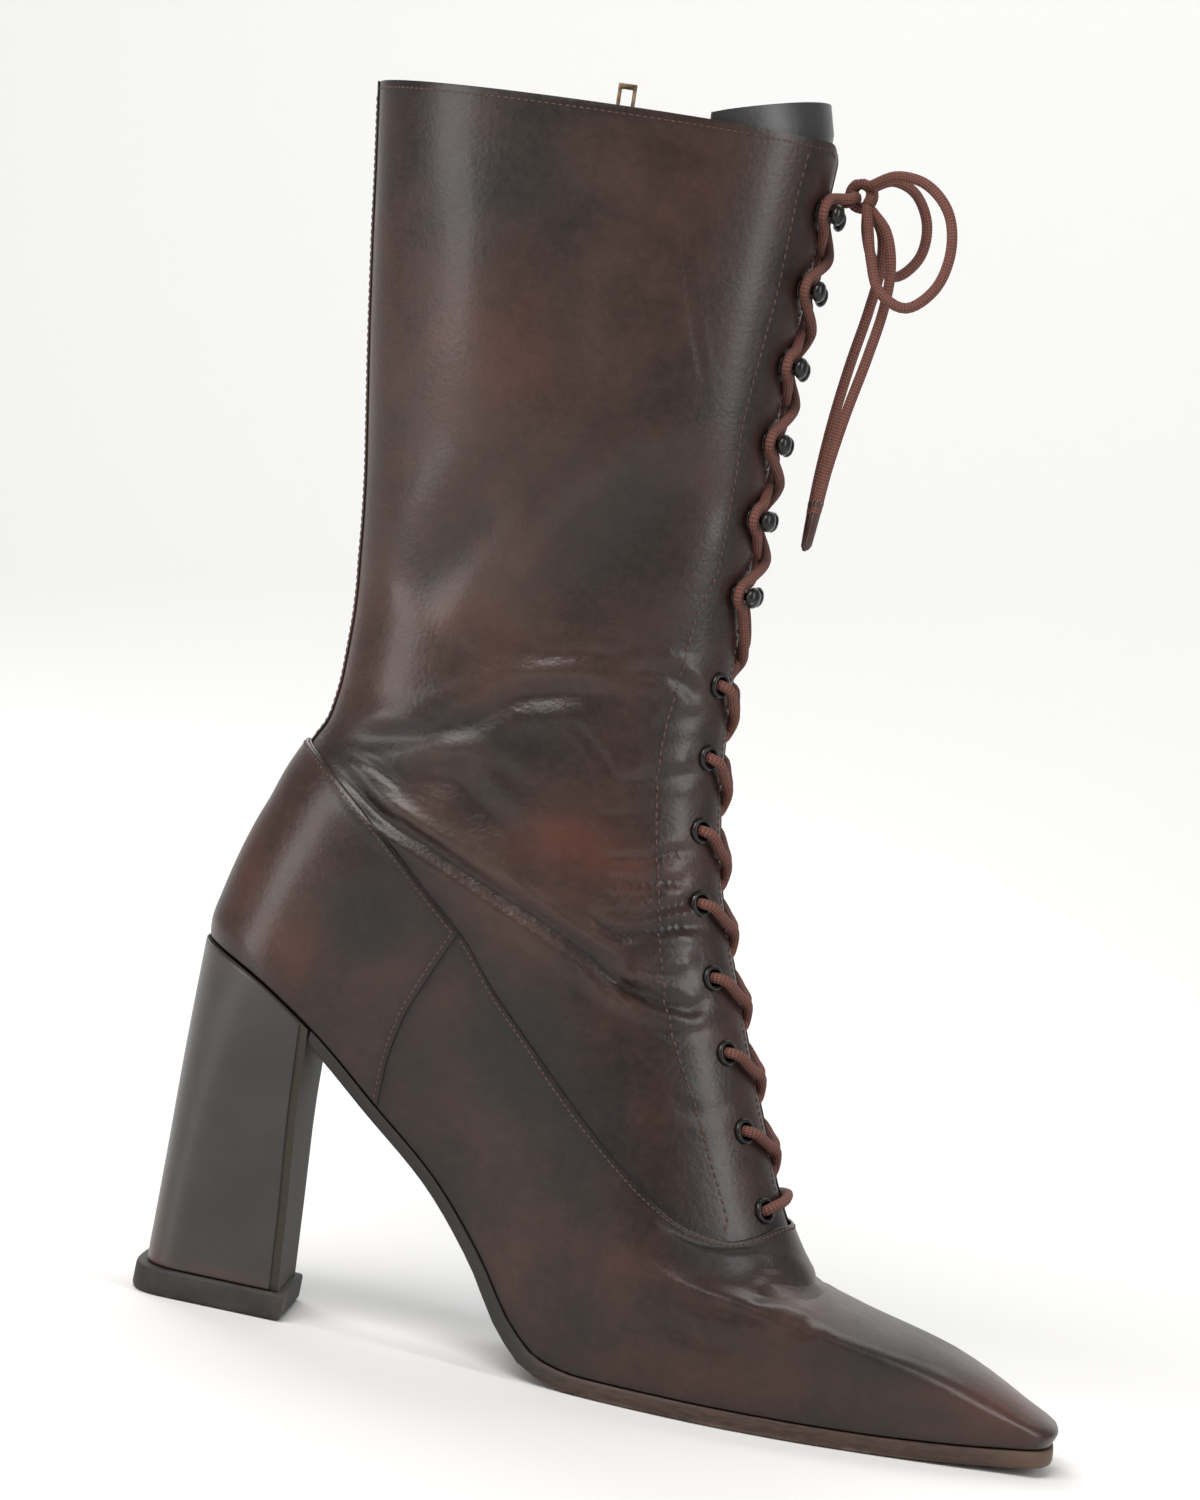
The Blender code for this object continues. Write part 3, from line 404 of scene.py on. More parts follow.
# %% Folds, in the boot's own sizes
# points as (x, z), width, depth (a ridge is negative), how much of it shows on the inner side
FOLDS = (
    (((21.6, 150), (30, 143), (41, 135.5), (58, 128.9), (73, 123), (86, 117.9), (103.5, 110.5), (113, 104.7),
      (122, 102.8), (134, 106)), 2.1, 1.35, 0.9),
    (((38, 139.5), (57, 134.5), (71.8, 129.5), (84, 124)), 4.6, -0.9, 0.8),
    (((20, 150.5), (29, 154.6), (37, 158), (51.6, 160.8), (62.3, 168.7), (74, 177.3), (89, 180), (106, 184)),
     2.8, -0.95, 0.9),
    (((22, 152), (33, 153.6), (47, 157), (60, 164), (70, 172), (82, 175.5), (98, 178.5)), 3.4, 1.05, 0.9),
    (((40, 151), (52, 155), (63, 156.5), (74, 155.9), (82, 152)), 3.6, -0.6, 0.6),
    (((62, 153), (67, 150.2), (71, 145.6)), 2.6, -0.3, 0.3),
    (((48, 146), (60, 148), (70, 141), (80, 136)), 3.6, 0.6, 0.5),
    (((100, 135), (106, 136.4), (112, 137.6), (119, 140.4), (126, 141.5)), 1.25, 0.8, 0.8),
    (((102, 130.2), (113, 131.3), (125, 133.9)), 1.2, 0.78, 0.8),
    (((101.5, 126.2), (110, 126.8), (119, 129)), 1.1, 0.6, 0.5),
    (((101, 121.6), (112.4, 123), (122.6, 127.2), (129, 130.6)), 1.4, 0.88, 0.8),
    (((98, 122.4), (104, 119), (110, 117.2), (117, 119.8), (124, 122.2), (134, 123.6)), 1.7, 1.15, 0.9),
    (((108, 107), (115, 104), (122, 102.4), (131, 101.8), (137, 105)), 1.8, 1.0, 0.9),
    (((112, 111), (121, 112), (131, 115)), 1.6, -0.65, 0.7),
    (((99, 154.8), (106, 156.4), (112.8, 158.8), (123, 161.8)), 1.5, 0.78, 0.8),
    (((102, 160.5), (111, 163.5), (119, 165)), 1.5, -0.5, 0.6),
    (((95, 181.6), (102, 184.3), (108.5, 185), (114, 182.6), (118.5, 180)), 1.7, 0.8, 0.8),
    (((104, 189), (112, 188), (119, 184)), 1.5, -0.4, 0.6),
    (((86, 168.5), (92, 164), (95.4, 161.4), (99.9, 155.6)), 1.0, 0.32, 0.2),
    (((106, 254), (96, 246), (86.4, 236), (76, 226.5), (69, 217), (61, 204), (53, 191),
      (45.7, 178)), 6.0, -0.6, 0.4),
    (((112, 240), (100, 228), (90, 214), (82, 200), (78, 190)), 9.0, 0.7, 0.7),
    (((46, 136), (54, 131.6), (62, 129.6)), 1.0, 0.3, 0.5),
    (((64, 131), (74, 127.5), (84, 121.6)), 1.0, 0.28, 0.5),
    (((84, 113.6), (94, 110), (104, 104.6)), 1.1, 0.3, 0.5),
    (((28, 148.5), (38, 146.8), (48, 142.6)), 1.2, 0.4, 0.6),
    (((50, 164), (58, 169.5), (66, 174)), 1.2, 0.3, 0.5),
    (((72, 182), (84, 185.4), (96, 186.6)), 1.4, 0.3, 0.5),
    (((98, 145.5), (106, 147.5), (114, 149)), 1.2, 0.32, 0.5),
    (((104, 113), (112, 109.4), (120, 108.6), (130, 110.4)), 1.1, 0.42, 0.6),
    (((120, 96), (129, 95), (138, 97)), 1.5, 0.35, 0.6),
    (((130, 77), (139, 76), (147, 78.6)), 1.8, 0.3, 0.6),
    (((106, 172), (113, 174), (120, 176)), 1.4, 0.35, 0.6),
    (((60, 222), (52, 212), (44, 198), (38, 184)), 8.0, 0.8, 0.7),
    (((82.1, 322), (87.9, 302), (95.6, 276.6), (104.4, 255)), 0.9, 0.3, 0.0),
    (((60, 316), (62, 290), (66, 262), (70, 240)), 12.0, 0.7, 0.8),
    (((20, 300), (24, 270), (30, 240), (34, 215)), 10.0, 0.6, 0.8),
    (((158, 33.2), (165, 35.2), (170.6, 36.4), (175.8, 35.0), (180, 39)), 1.8, 0.85, 1.0),
    (((160, 41), (166, 40.5), (171.3, 39.0), (174.5, 38.3)), 1.3, 0.4, 1.0),
    (((171.5, 27.4), (175, 28.6), (177.4, 31.2), (180.2, 34.2)), 1.5, 0.55, 1.0),
    (((150, 30.5), (158, 29.5), (166, 30.2)), 1.6, 0.3, 0.8),
    (((139, 24), (149, 21.4), (160, 20.6)), 2.2, 0.3, 0.6),
)


def along_line(points, x, z):
    """How far each place is from a line of (x, z) points, and how far along it the nearest point lies."""
    line = np.asarray(points, float)
    steps = np.linalg.norm(np.diff(line, axis=0), axis=1)
    gone = np.concatenate(([0], np.cumsum(steps)))
    best, share = np.full(x.shape, 1e9), np.zeros(x.shape)
    for i, step in enumerate(steps):
        (ax, az), (bx, bz) = line[i], line[i + 1]
        s = np.clip(((x - ax) * (bx - ax) + (z - az) * (bz - az)) / step**2, 0, 1)
        away = np.hypot(x - ax - s * (bx - ax), z - az - s * (bz - az))
        closer = away < best
        best = np.where(closer, away, best)
        share = np.where(closer, (gone[i] + s * step) / gone[-1], share)
    return best, share


def soft_step(low, high, at):
    s = np.clip((at - low) / (high - low), 0, 1)
    return s * s * (3 - 2 * s)


def folds(x, z, inner):
    """How far the leather moves out of the last at places on the boot's side."""
    move = np.zeros(x.shape)
    for points, width, depth, on_inner in FOLDS:
        away, share = along_line(points, x, z)
        near = away < 4 * width
        if not near.any():
            continue
        ends = soft_step(0, 0.22, share) * soft_step(0, 0.22, 1 - share)
        past_end = (share <= 0) | (share >= 1)
        shape = np.exp(-((away / width) ** 2)) - 0.5 * np.exp(-(((away - 1.9 * width) / (0.95 * width)) ** 2))
        if depth < 0:
            shape = np.exp(-((away / width) ** 2))
        amount = np.where(inner, on_inner, 1.0) * np.where(past_end, 0, ends)
        move -= depth * amount * shape * near
    return move


def lifted(t, v):
    """How far the folds move the leather: not at all at the sole, and less and less towards the collar."""
    points = last(t, v)
    move = folds(points[..., 0], points[..., 2], points[..., 1] > 3)
    t = np.broadcast_to(t, move.shape)
    return move * soft_step(0.6, 2.4, t) * soft_step(COLLAR, COLLAR - 0.5, t)


COLLAR_DIP = 0.0645


def leather(t, v, out=0.0):
    """The leather's own surface: the last with its folds, in table millimetres."""
    t, v = np.broadcast_arrays(np.asarray(t, float), np.asarray(v, float))
    near_throat = np.clip(1 - (np.abs(v) - THROAT) / 0.06, 0, 1)
    t = t - COLLAR_DIP * near_throat**2 * soft_step(COLLAR - 0.6, COLLAR, t)
    return last(t, v) + outwards(t, v) * (lifted(t, v) + out)[..., None]


# %% [markdown]
# The upper is cut as a shoemaker cuts it: a lined shaft, a foot leather that laps over it along the quarter
# seam, and a counter over the heel. Each starts as a flat grid, like a cut piece of leather. Its rows and
# columns are bent round the last, the throat and the zip's slot are cut out, and a Solidify modifier gives
# the leather its thickness. A small bevel then rounds the cut edges.

# %% Bend a flat grid round the last
def bent_grid(name, points):
    """A flat grid whose rows and columns are moved onto points in table millimetres."""
    rows, columns = points.shape[:2]
    bpy.ops.object.select_all(action="DESELECT")
    bpy.ops.mesh.primitive_grid_add(x_subdivisions=columns - 1, y_subdivisions=rows - 1, size=0.2)
    piece = bpy.context.active_object
    piece.name = piece.data.name = name
    piece.data.vertices.foreach_set("co", metres(points).astype(np.float32).ravel())
    return piece


def select_only(*pieces):
    """Selects these pieces and makes the first one active."""
    bpy.ops.object.select_all(action="DESELECT")
    for piece in pieces:
        piece.select_set(True)
    bpy.context.view_layer.objects.active = pieces[0]


def joined(pieces):
    """One piece made of several."""
    select_only(*pieces)
    bpy.ops.object.join()
    return bpy.context.active_object


def edited(piece, *steps):
    """Runs mesh operators, given as (operator, settings), on the whole of a piece."""
    select_only(piece)
    bpy.ops.object.mode_set(mode="EDIT")
    for operator, settings in steps:
        bpy.ops.mesh.select_all(action="SELECT")
        operator(**settings)
    bpy.ops.object.mode_set(mode="OBJECT")


FACE_OUTWARDS = (bpy.ops.mesh.normals_make_consistent, {"inside": False})


def face_towards(piece, axis, sign):
    """Turns a sheet over where its faces look away from one end of an axis."""
    normals = np.array([face.normal for face in piece.data.polygons])
    if sign * normals[:, axis].mean() < 0:
        piece.data.flip_normals()


def apply(piece, kind, **settings):
    """Adds a modifier with these settings and applies it."""
    modifier = piece.modifiers.new(kind.lower(), kind)
    for key, value in settings.items():
        setattr(modifier, key, value)
    select_only(piece)
    bpy.ops.object.modifier_apply(modifier=modifier.name)


def smooth_shading(piece, sharp):
    """Shades a piece smoothly, but not over edges of more than this many degrees."""
    piece.data.shade_smooth()
    piece.data.set_sharp_from_angle(angle=math.radians(sharp))


def bevelled(piece, width, segments, angle=50):
    apply(piece, "BEVEL", width=width * MM, segments=segments, limit_method="ANGLE",
          angle_limit=math.radians(angle))


def thicken(piece, thickness, offset, bevel, segments, sharp=55, **settings):
    """Gives a sheet its thickness and rounds its cut edges."""
    apply(piece, "SOLIDIFY", thickness=thickness * MM, offset=offset, use_even_offset=True,
          use_rim=True, **settings)
    bevelled(piece, bevel, segments)
    smooth_shading(piece, sharp)


def material_named(name):
    return bpy.data.materials.get(name) or bpy.data.materials.new(name)


# middle x and z of a cloud in the dye, its reach along x and z, and how strong it is
WARM_CLOUDS = (
    (89, 137, 17, 8, 1.0), (112, 133, 12, 8, 0.8), (73, 112, 14, 7, 0.5), (118, 36, 20, 9, 0.75),
    (230, 15, 14, 9, 0.9), (28, 97, 12, 10, 0.7), (10, 112, 9, 14, 0.55), (27, 166, 9, 9, 0.35),
    (56, 254, 24, 18, 0.42), (30, 255, 9, 22, 0.35), (48, 190, 12, 10, 0.5), (128, 76, 9, 14, 0.55),
    (150, 62, 9, 9, 0.35), (96, 178, 14, 12, 0.25), (86, 48, 9, 14, 0.4), (105, 310, 16, 10, 0.3),
)
DARK_CLOUDS = (
    (46, 108, 13, 12, 1.0), (88, 88, 15, 14, 0.85), (62, 160, 24, 7, 0.7), (40, 148, 16, 6, 0.6),
    (80, 226, 22, 34, 0.45), (56, 300, 30, 14, 0.35), (152, 42, 16, 6, 0.8), (190, 22, 26, 7, 0.45),
    (66, 72, 9, 14, 0.5), (104, 300, 8, 28, 0.4), (100, 212, 10, 26, 0.35), (20, 214, 10, 26, 0.45),
    (112, 66, 14, 10, 0.5), (214, 12, 14, 4, 0.4), (40, 290, 16, 24, 0.25), (206, 31, 24, 9, 0.6),
)
QUARTER_SEAM = ((14, 156), (22.4, 151.2), (34.7, 139.1), (46.9, 126.9), (62, 112.9), (70.9, 104.9),
                (86, 90.9), (101.1, 76.9), (115.9, 63.8), (130.3, 53), (141.3, 47.4), (151.4, 45.6),
                (160.6, 48.4), (167.8, 53.8))
COUNTER_SEAM = ((55.8, 56), (56.5, 62), (56.6, 70), (58.4, 83), (63, 96), (68.8, 108))
EYESTAY_SEAM = ((151, 51), (145, 62.5), (137, 78), (127, 96), (121, 112), (116.4, 131), (112.6, 147),
                (110, 166), (111, 184), (112, 199), (115, 214), (115, 234), (114, 251), (115, 271),
                (116, 290.5), (116, 308), (117, 327))


def dye_marks(points, move):
    """How warm or dark the dye is, how near a seam, the collar's edge or the sole's edge lies, and how far a
    fold lifts, for each point. The finish darkens the upper along the sole's edge and in the folds' troughs
    as painted shade.
    """
    x, z = points[..., 0], points[..., 2]
    marks = {}
    for key, clouds in (("warm", WARM_CLOUDS), ("dark", DARK_CLOUDS)):
        total = np.zeros(x.shape)
        for at_x, at_z, reach_x, reach_z, amount in clouds:
            total += amount * np.exp(-(((x - at_x) / reach_x) ** 2) - ((z - at_z) / reach_z) ** 2)
        marks[key] = np.clip(total, 0, 1)
    near = np.full(x.shape, 60.0)
    for seam in (QUARTER_SEAM, COUNTER_SEAM, EYESTAY_SEAM):
        near = np.minimum(near, along_line(seam, x, z)[0])
    near = np.minimum(near, np.abs(z - (318.5 + 0.08 * x)))
    # along the sole's edge the darkening is painted shade of the gap between upper and sole
    near = np.minimum(near, np.abs(z - smooth(SOLE_X, SOLE_TOP, x)) * 1.4)
    marks["seam"] = np.exp(-near / 1.6)
    marks["by_seam"] = np.exp(-near / 7.0)
    # the finish paints fold ridges paler, partly as painted highlight, and fold troughs darker as painted
    # shade
    marks["lift"] = move
    pinched = np.zeros(x.shape)
    for fold, width, depth, _ in FOLDS:
        if width < 4:
            away, _ = along_line(fold, x, z)
            near_fold = np.exp(-((away / (2.4 * width + 1.5)) ** 2))
            pinched = np.maximum(pinched, near_fold * min(1.0, abs(depth)))
    marks["pinch"] = pinched
    return marks


def keep_marks(piece, marks):
    """Stores numbers for each corner of the mesh, which the finishes read by name."""
    for key, values in marks.items():
        layer = piece.data.attributes.new(key, "FLOAT", "POINT")
        layer.data.foreach_set("value", np.asarray(values, np.float32).ravel())


def spread(*stops):
    """Numbers from stop to stop, each stretch given as (start, steps), with the last number at the end."""
    numbers = []
    for (start, steps), (end, _) in zip(stops, stops[1:]):
        numbers += list(np.linspace(start, end, steps, endpoint=False))
    return np.array([*numbers, stops[-1][0]])


def seam_level(v):
    """The section of the quarter seam at a place. It runs down the side in one smooth sweep."""
    v = np.asarray(v, float)
    low, high = np.full(v.shape, 5.6), np.full(v.shape, 7.8)
    xs, zs = [p[0] for p in QUARTER_SEAM[4:]], [p[1] for p in QUARTER_SEAM[4:]]
    for _ in range(22):
        middle = (low + high) / 2
        here = ring(middle, v)
        under = here[..., 2] < smooth(xs, zs, here[..., 0])
        low, high = np.where(under, middle, low), np.where(under, high, middle)
    here = ring(SEAM, v)
    return SEAM + (low - SEAM) * soft_step(68, 82, here[..., 0]) * soft_step(168.5, 162, here[..., 0])


def up_to_seam(t, v):
    """Levels that end on the quarter seam instead of on its straight section."""
    return t + (seam_level(v) - SEAM) * soft_step(3.5, SEAM, t)


def sheet_on_last(name, levels, places, out, thickness, cut=None, to_seam=False):
    """A leather on the last. cut(t, v) says which of its quads are cut away."""
    t, v = np.meshgrid(levels, places, indexing="ij")
    if to_seam:
        t = up_to_seam(t, v)
    points = leather(t, v, out)
    piece = bent_grid(name, points)
    keep_marks(piece, {"level": t, "place": v, **dye_marks(points, lifted(t, v))})
    mesh = bmesh.new()
    mesh.from_mesh(piece.data)
    if cut is not None:
        level = mesh.verts.layers.float["level"]
        place = mesh.verts.layers.float["place"]
        gone = []
        for face in mesh.faces:
            middle_t = sum(vert[level] for vert in face.verts) / 4
            middle_v = sum(vert[place] for vert in face.verts) / 4
            if cut(middle_t, middle_v):
                gone.append(face)
        bmesh.ops.delete(mesh, geom=gone, context="FACES")
    bmesh.ops.remove_doubles(mesh, verts=mesh.verts, dist=0.02 * MM)
    bmesh.ops.recalc_face_normals(mesh, faces=mesh.faces)
    outside = sum(1 for f in mesh.faces if f.normal.y * (f.calc_center_median().y) > 0)
    if outside < len(mesh.faces) / 2:
        bmesh.ops.reverse_faces(mesh, faces=mesh.faces)
    mesh.to_mesh(piece.data)
    mesh.free()
    piece.data.materials.append(material_named("leather"))
    piece.data.materials.append(material_named("lining"))
    thicken(piece, thickness, -1, bevel=0.25, segments=2, material_offset=1)
    print(name, len(piece.data.polygons), "faces")
    return piece


# %% The shaft with its lining, open at the throat and the zip
def shaft_cut(t, v):
    in_throat = abs(v) < THROAT and t > SEAM - 0.3
    in_zip = ZIP_FRONT < v < ZIP_BACK and t > 8.4
    return in_throat or in_zip


half_places = spread((THROAT, 40), (0.27, 24), (0.42, 9), (ZIP_FRONT, 4), (ZIP_BACK, 8), (0.62, 32),
                     (1.0, 0))
shaft_places = np.concatenate((-half_places[::-1], (-0.012, 0.012), half_places))
shaft_levels = spread((0.12, 9), (6.7, 3), (7.0, 30), (8.6, 34), (10.0, 30), (11.6, 22), (13.0, 34),
                      (13.985, 0))
shaft = sheet_on_last("shaft_leather", shaft_levels, shaft_places, -VAMP_STEP, 1.75, shaft_cut)
hand_over(shaft)

# %% The foot leather, from the sole to the quarter seam
foot_half = spread((0.0, 40), (0.12, 40), (0.34, 40), (0.76, 14), (0.9, 8), (1.0, 0))
foot_places = np.concatenate((-foot_half[:0:-1], foot_half))
foot_levels = spread((0.0, 6), (1.0, 10), (3.0, 24), (6.2, 7), (6.99, 0))
foot = sheet_on_last("foot_leather", foot_levels, foot_places, 0.0, 0.74, to_seam=True)
hand_over(foot, "upper")

# %% The counter over the heel, lapped on the foot leather
COUNTER_EDGE = ((62, 56.5), (70, 56.6), (83, 58.4), (96, 63), (110, 68.8))


def place_on_seam(t, near, far, heights, xs):
    """The place round section t that lies on a line of heights and xs, found by halving."""
    for _ in range(24):
        middle = (near + far) / 2
        x, _, z = ring(t, middle)
        if x > float(smooth(heights, xs, z)):
            near = middle
        else:
            far = middle
    return near


def counter_place(t):
    """The place round section t where the counter's front edge lies."""
    return place_on_seam(t, 0.5, 0.8, *zip(*COUNTER_EDGE))


counter_levels = spread((0.13, 34), (6.95, 0))
counter_edges = np.array([counter_place(t) for t in counter_levels])
counter_share = spread((0.0, 6), (0.08, 44), (0.92, 6), (1.0, 0))
t_grid = np.repeat(counter_levels[:, None], len(counter_share), axis=1)
v_grid = counter_edges[:, None] + (2 - 2 * counter_edges[:, None]) * counter_share[None, :]


def lapped_piece(name, t_grid, v_grid, out, thickness):
    """A leather that lies on the others, with its thickness outwards."""
    points = leather(t_grid, v_grid, out)
    piece = bent_grid(name, points)
    keep_marks(piece, {"level": t_grid, "place": v_grid, **dye_marks(points, lifted(t_grid, v_grid))})
    edited(piece, FACE_OUTWARDS)
    face_towards(piece, 0, -1)
    piece.data.materials.append(material_named("leather"))
    thicken(piece, thickness, 1, bevel=0.3, segments=3)
    print(name, len(piece.data.polygons), "faces")
    return piece


counter = lapped_piece("counter_leather", t_grid, v_grid, 0.06, 0.85)
hand_over(counter, "counter")

# %% The strip over the back seam of the shaft


def place_from(t, start, direction, reach):
    """The place that lies reach millimetres round section t from start, towards direction."""
    tries = start + direction * np.linspace(0, 0.25, 160)
    line = last(np.full(tries.shape, float(t)), tries)
    gone = lengths_along(line)
    return float(np.interp(reach, gone, tries))


strip_levels = spread((6.6, 60), (13.99, 0))
strip_half = np.array([1 - place_from(t, 1.0, -1, 4.6) for t in strip_levels])
strip_share = spread((-1.0, 12), (1.0, 0))
strip_t = np.repeat(strip_levels[:, None], len(strip_share), axis=1)
strip_v = 1 + strip_half[:, None] * strip_share[None, :]
back_strip = lapped_piece("back_strip", strip_t, strip_v, 0.03 - VAMP_STEP, 0.55)
hand_over(back_strip)

# %% [markdown]
# Eyelets and hooks sit on the shaft in rows, measured up the front of the boot. Each seat is a small frame
# of its own: up the boot, across it, and out of the leather. The holes are punched through the leather with
# one cutter, so the lace can really pass through them.

# %% Seats of the eyelets and hooks
EYELET_ROWS = 8
HOOK_ROWS = 6
EYELETS_OUT = (15.4, 16.6, 17.4, 17.2, 16.8, 15.0, 13.2, 12.0)
HOOK_OUT = 10.8
FIRST_EYELET = 5.5
EYELET_PITCH = 19.4
FIRST_HOOK = 165.4
HOOK_PITCH = 20.2
HOLE_RADIUS = 2.75
RIVET_RADIUS = 1.1
front_sections = np.linspace(SEAM, COLLAR, 161)
front_lengths = lengths_along(last(front_sections, 0.0))


def up_front(length):
    """The section that lies this far up the front, measured from the foot of the throat."""
    return float(np.interp(length, front_lengths, front_sections))


def row_length(row):
    if row < EYELET_ROWS:
        return FIRST_EYELET + EYELET_PITCH * row
    return FIRST_HOOK + HOOK_PITCH * (row - EYELET_ROWS)


def seat(row, side):
    """The origin and the three directions of a seat, in table millimetres."""
    t = up_front(row_length(row))
    reach = EYELETS_OUT[row] if row < EYELET_ROWS else HOOK_OUT
    tries = np.linspace(0, 0.3, 200)
    line = last(t, tries)
    gone = lengths_along(line)
    v = side * float(np.interp(reach, gone, tries))
    out = outwards(t, v)
    climb = last(t + 0.1, v) - last(t - 0.1, v)
    across = unit(np.cross(out, climb))
    return last(t, v, -VAMP_STEP), np.cross(across, out), across, out


def seat_matrix(row, side):
    at, climb, across, out = seat(row, side)
    turn = Matrix((climb, across, out)).transposed().to_4x4()
    return Matrix.Translation(metres(at)) @ turn


SIDES = ((-1, "outer"), (1, "inner"))
cutters = []
for row in range(EYELET_ROWS + HOOK_ROWS):
    for side, _ in SIDES:
        bpy.ops.object.select_all(action="DESELECT")
        radius = HOLE_RADIUS if row < EYELET_ROWS else RIVET_RADIUS
        bpy.ops.mesh.primitive_cylinder_add(vertices=20, radius=radius * MM, depth=8 * MM)
        cutter = bpy.context.active_object
        cutter.data.transform(seat_matrix(row, side))
        cutters.append(cutter)
punch = joined(cutters)
apply(shaft, "BOOLEAN", operation="DIFFERENCE", object=punch, solver="FAST")
bpy.data.objects.remove(punch)
smooth_shading(shaft, 55)
print("shaft with holes", len(shaft.data.polygons), "faces")

# %% [markdown]
# A turned part, such as an eyelet, is drawn as half of its cut face and spun round its axis. The circle
# that starts it only lends its points: they are moved onto the profile before the spin. The eyelet is
# turned once and set into its sixteen seats.

# %% Turn one eyelet and set it sixteen times


def turned(name, profile, steps):
    """A ring or knob spun from (radius, height) points in millimetres, round the z axis."""
    bpy.ops.object.select_all(action="DESELECT")
    bpy.ops.mesh.primitive_circle_add(vertices=len(profile), radius=0.01)
    piece = bpy.context.active_object
    piece.name = piece.data.name = name
    for vert, (radius, height) in zip(piece.data.vertices, profile):
        vert.co = (radius * MM, 0, height * MM)
    edited(
        piece,
        (bpy.ops.mesh.spin, {"steps": steps, "angle": math.tau, "center": (0, 0, 0), "axis": (0, 0, 1)}),
        (bpy.ops.mesh.remove_doubles, {"threshold": 0.004 * MM}),
        FACE_OUTWARDS,
    )
    smooth_shading(piece, 60)
    return piece


def copy_of(piece, name, matrix):
    made = piece.copy()
    made.data = piece.data.copy()
    made.name = made.data.name = name
    made.data.transform(matrix)
    bpy.context.scene.collection.objects.link(made)
    return made


eyelet = turned("eyelet_master", (
    (2.12, -1.9), (2.05, -0.4), (2.06, 0.35), (2.2, 0.8), (2.5, 1.06), (2.85, 1.1), (3.2, 0.92),
    (3.42, 0.58), (3.46, 0.22), (3.36, 0.06), (2.6, 0.05), (2.5, -1.9),
), 36)
for row in range(EYELET_ROWS):
    for side, word in SIDES:
        made = copy_of(eyelet, f"eyelet_ring_{word}_{row + 1}", seat_matrix(row, side))
        hand_over(made, f"eyelet_{word}_{row + 1}")
bpy.data.objects.remove(eyelet)

# %% [markdown]
# A speed hook is a rivet with a plate, a short neck that leans away from the throat, and a round head that
# keeps the lace on. The plate and the head are turned, the neck is swept along a short bend, and the three
# are joined into one piece before it is copied to both rows.

# %% Make one hook for each side and set them


def hook_for(side):
    lean = -side
    plate = turned("plate", ((0, -1.5), (0.85, -1.5), (0.9, 0.1), (2.7, 0.1), (3.0, 0.3), (2.9, 0.6),
                             (2.2, 0.85), (1.3, 1.0), (0, 1.05)), 28)
    bend = [(0, 0, 0.6), (0, lean * 0.02, 2.0), (0, lean * 0.15, 3.4), (0, lean * 0.5, 4.9)]
    neck = sweep("neck", through(bend, 0.5), 1.12, sides=14)
    neck.data.transform(Matrix.Translation((ORIGIN_X * MM, ORIGIN_Y * MM, 0)))
    head = turned("head", ((0, 4.15), (1.3, 4.2), (2.3, 4.5), (2.75, 5.1), (2.7, 5.75), (2.2, 6.35),
                           (1.3, 6.75), (0, 6.9)), 28)
    head.data.transform(Matrix.Translation((0, lean * 0.55 * MM, 0)))
    return joined((plate, neck, head))


for side, word in SIDES:
    hook = hook_for(side)
    for row in range(EYELET_ROWS, EYELET_ROWS + HOOK_ROWS):
        number = row - EYELET_ROWS + 1
        made = copy_of(hook, f"speed_hook_{word}_{number}", seat_matrix(row, side))
        hand_over(made, f"hook_{word}_{number}")
    bpy.data.objects.remove(hook)
print("hardware set")

# %% [markdown]
# The photograph shows how the boot is laced. Each strand dives into an eyelet from outside, runs down over
# the edge of its own facing, crosses the tongue and goes in under the other facing. The lowest strand is a
# plain bar. Over the hooks the two strands zigzag behind the necks and meet at the knot. One strand always
# passes over the other, so the crossings are not pushed into each other.

# %% Lace through the eyelets


def on_front(length, v, out):
    return leather(up_front(length), v, out)


def by_seat(row, side, up, away, out):
    at, climb, across, outward = seat(row, side)
    return at + climb * up - across * side * away + outward * out


def facing_edge(length, side, inside):
    """The place this many millimetres behind the edge of the throat."""
    t = up_front(length)
    return side * place_from(t, THROAT, 1, inside)


strands = []
for row in range(1, EYELET_ROWS):
    for side, word in SIDES:
        own = row_length(row)
        over = 0.4 if side < 0 else -0.5
        drop = 5.4 if row < 5 else 7.4
        reach = EYELETS_OUT[row] - 4.4
        route = [
            by_seat(row, side, 0.5, 0.2, -2.2),
            by_seat(row, side, -0.1, -0.2, 0.9),
            by_seat(row, side, -1.3, -2.1, 2.35),
            on_front(own - 0.56 * drop, facing_edge(own, side, reach * 0.42), 1.0),
            on_front(own - 0.86 * drop, facing_edge(own, side, 1.2), 0.95 + over * 0.4),
            on_front(own - drop - 0.8, side * THROAT * 0.62, 0.15 + over),
            on_front(own - drop - 3.4, 0.0, -0.95 + over),
            on_front(own - drop - 5.8, -side * THROAT * 0.7, -1.75),
            on_front(own - drop - 8.0, facing_edge(own - 9, -side, 3.0), -2.7),
        ]
        line = through(route, 0.8)
        thin = np.interp(np.linspace(0, 1, len(line)), (0, 0.84, 1.0), (LACE / 2, LACE / 2, 0.8))
        strands.append(sweep(f"strand_{word}_{row + 1}", line, thin))
low = row_length(0)
bar = [
    by_seat(0, -1, 0, 0.2, -2.2), by_seat(0, -1, 0.1, -0.2, 0.9), by_seat(0, -1, 0.6, -2.1, 2.3),
    on_front(low + 1.2, -THROAT * 1.7, 1.2),
    on_front(low + 1.8, 0.0, 0.7),
    on_front(low + 1.2, THROAT * 1.7, 1.2),
    by_seat(0, 1, 0.6, -2.1, 2.3), by_seat(0, 1, 0.1, -0.2, 0.9), by_seat(0, 1, 0, 0.2, -2.2),
]
strands.append(sweep("strand_bar", through(bar, 0.8), LACE / 2))

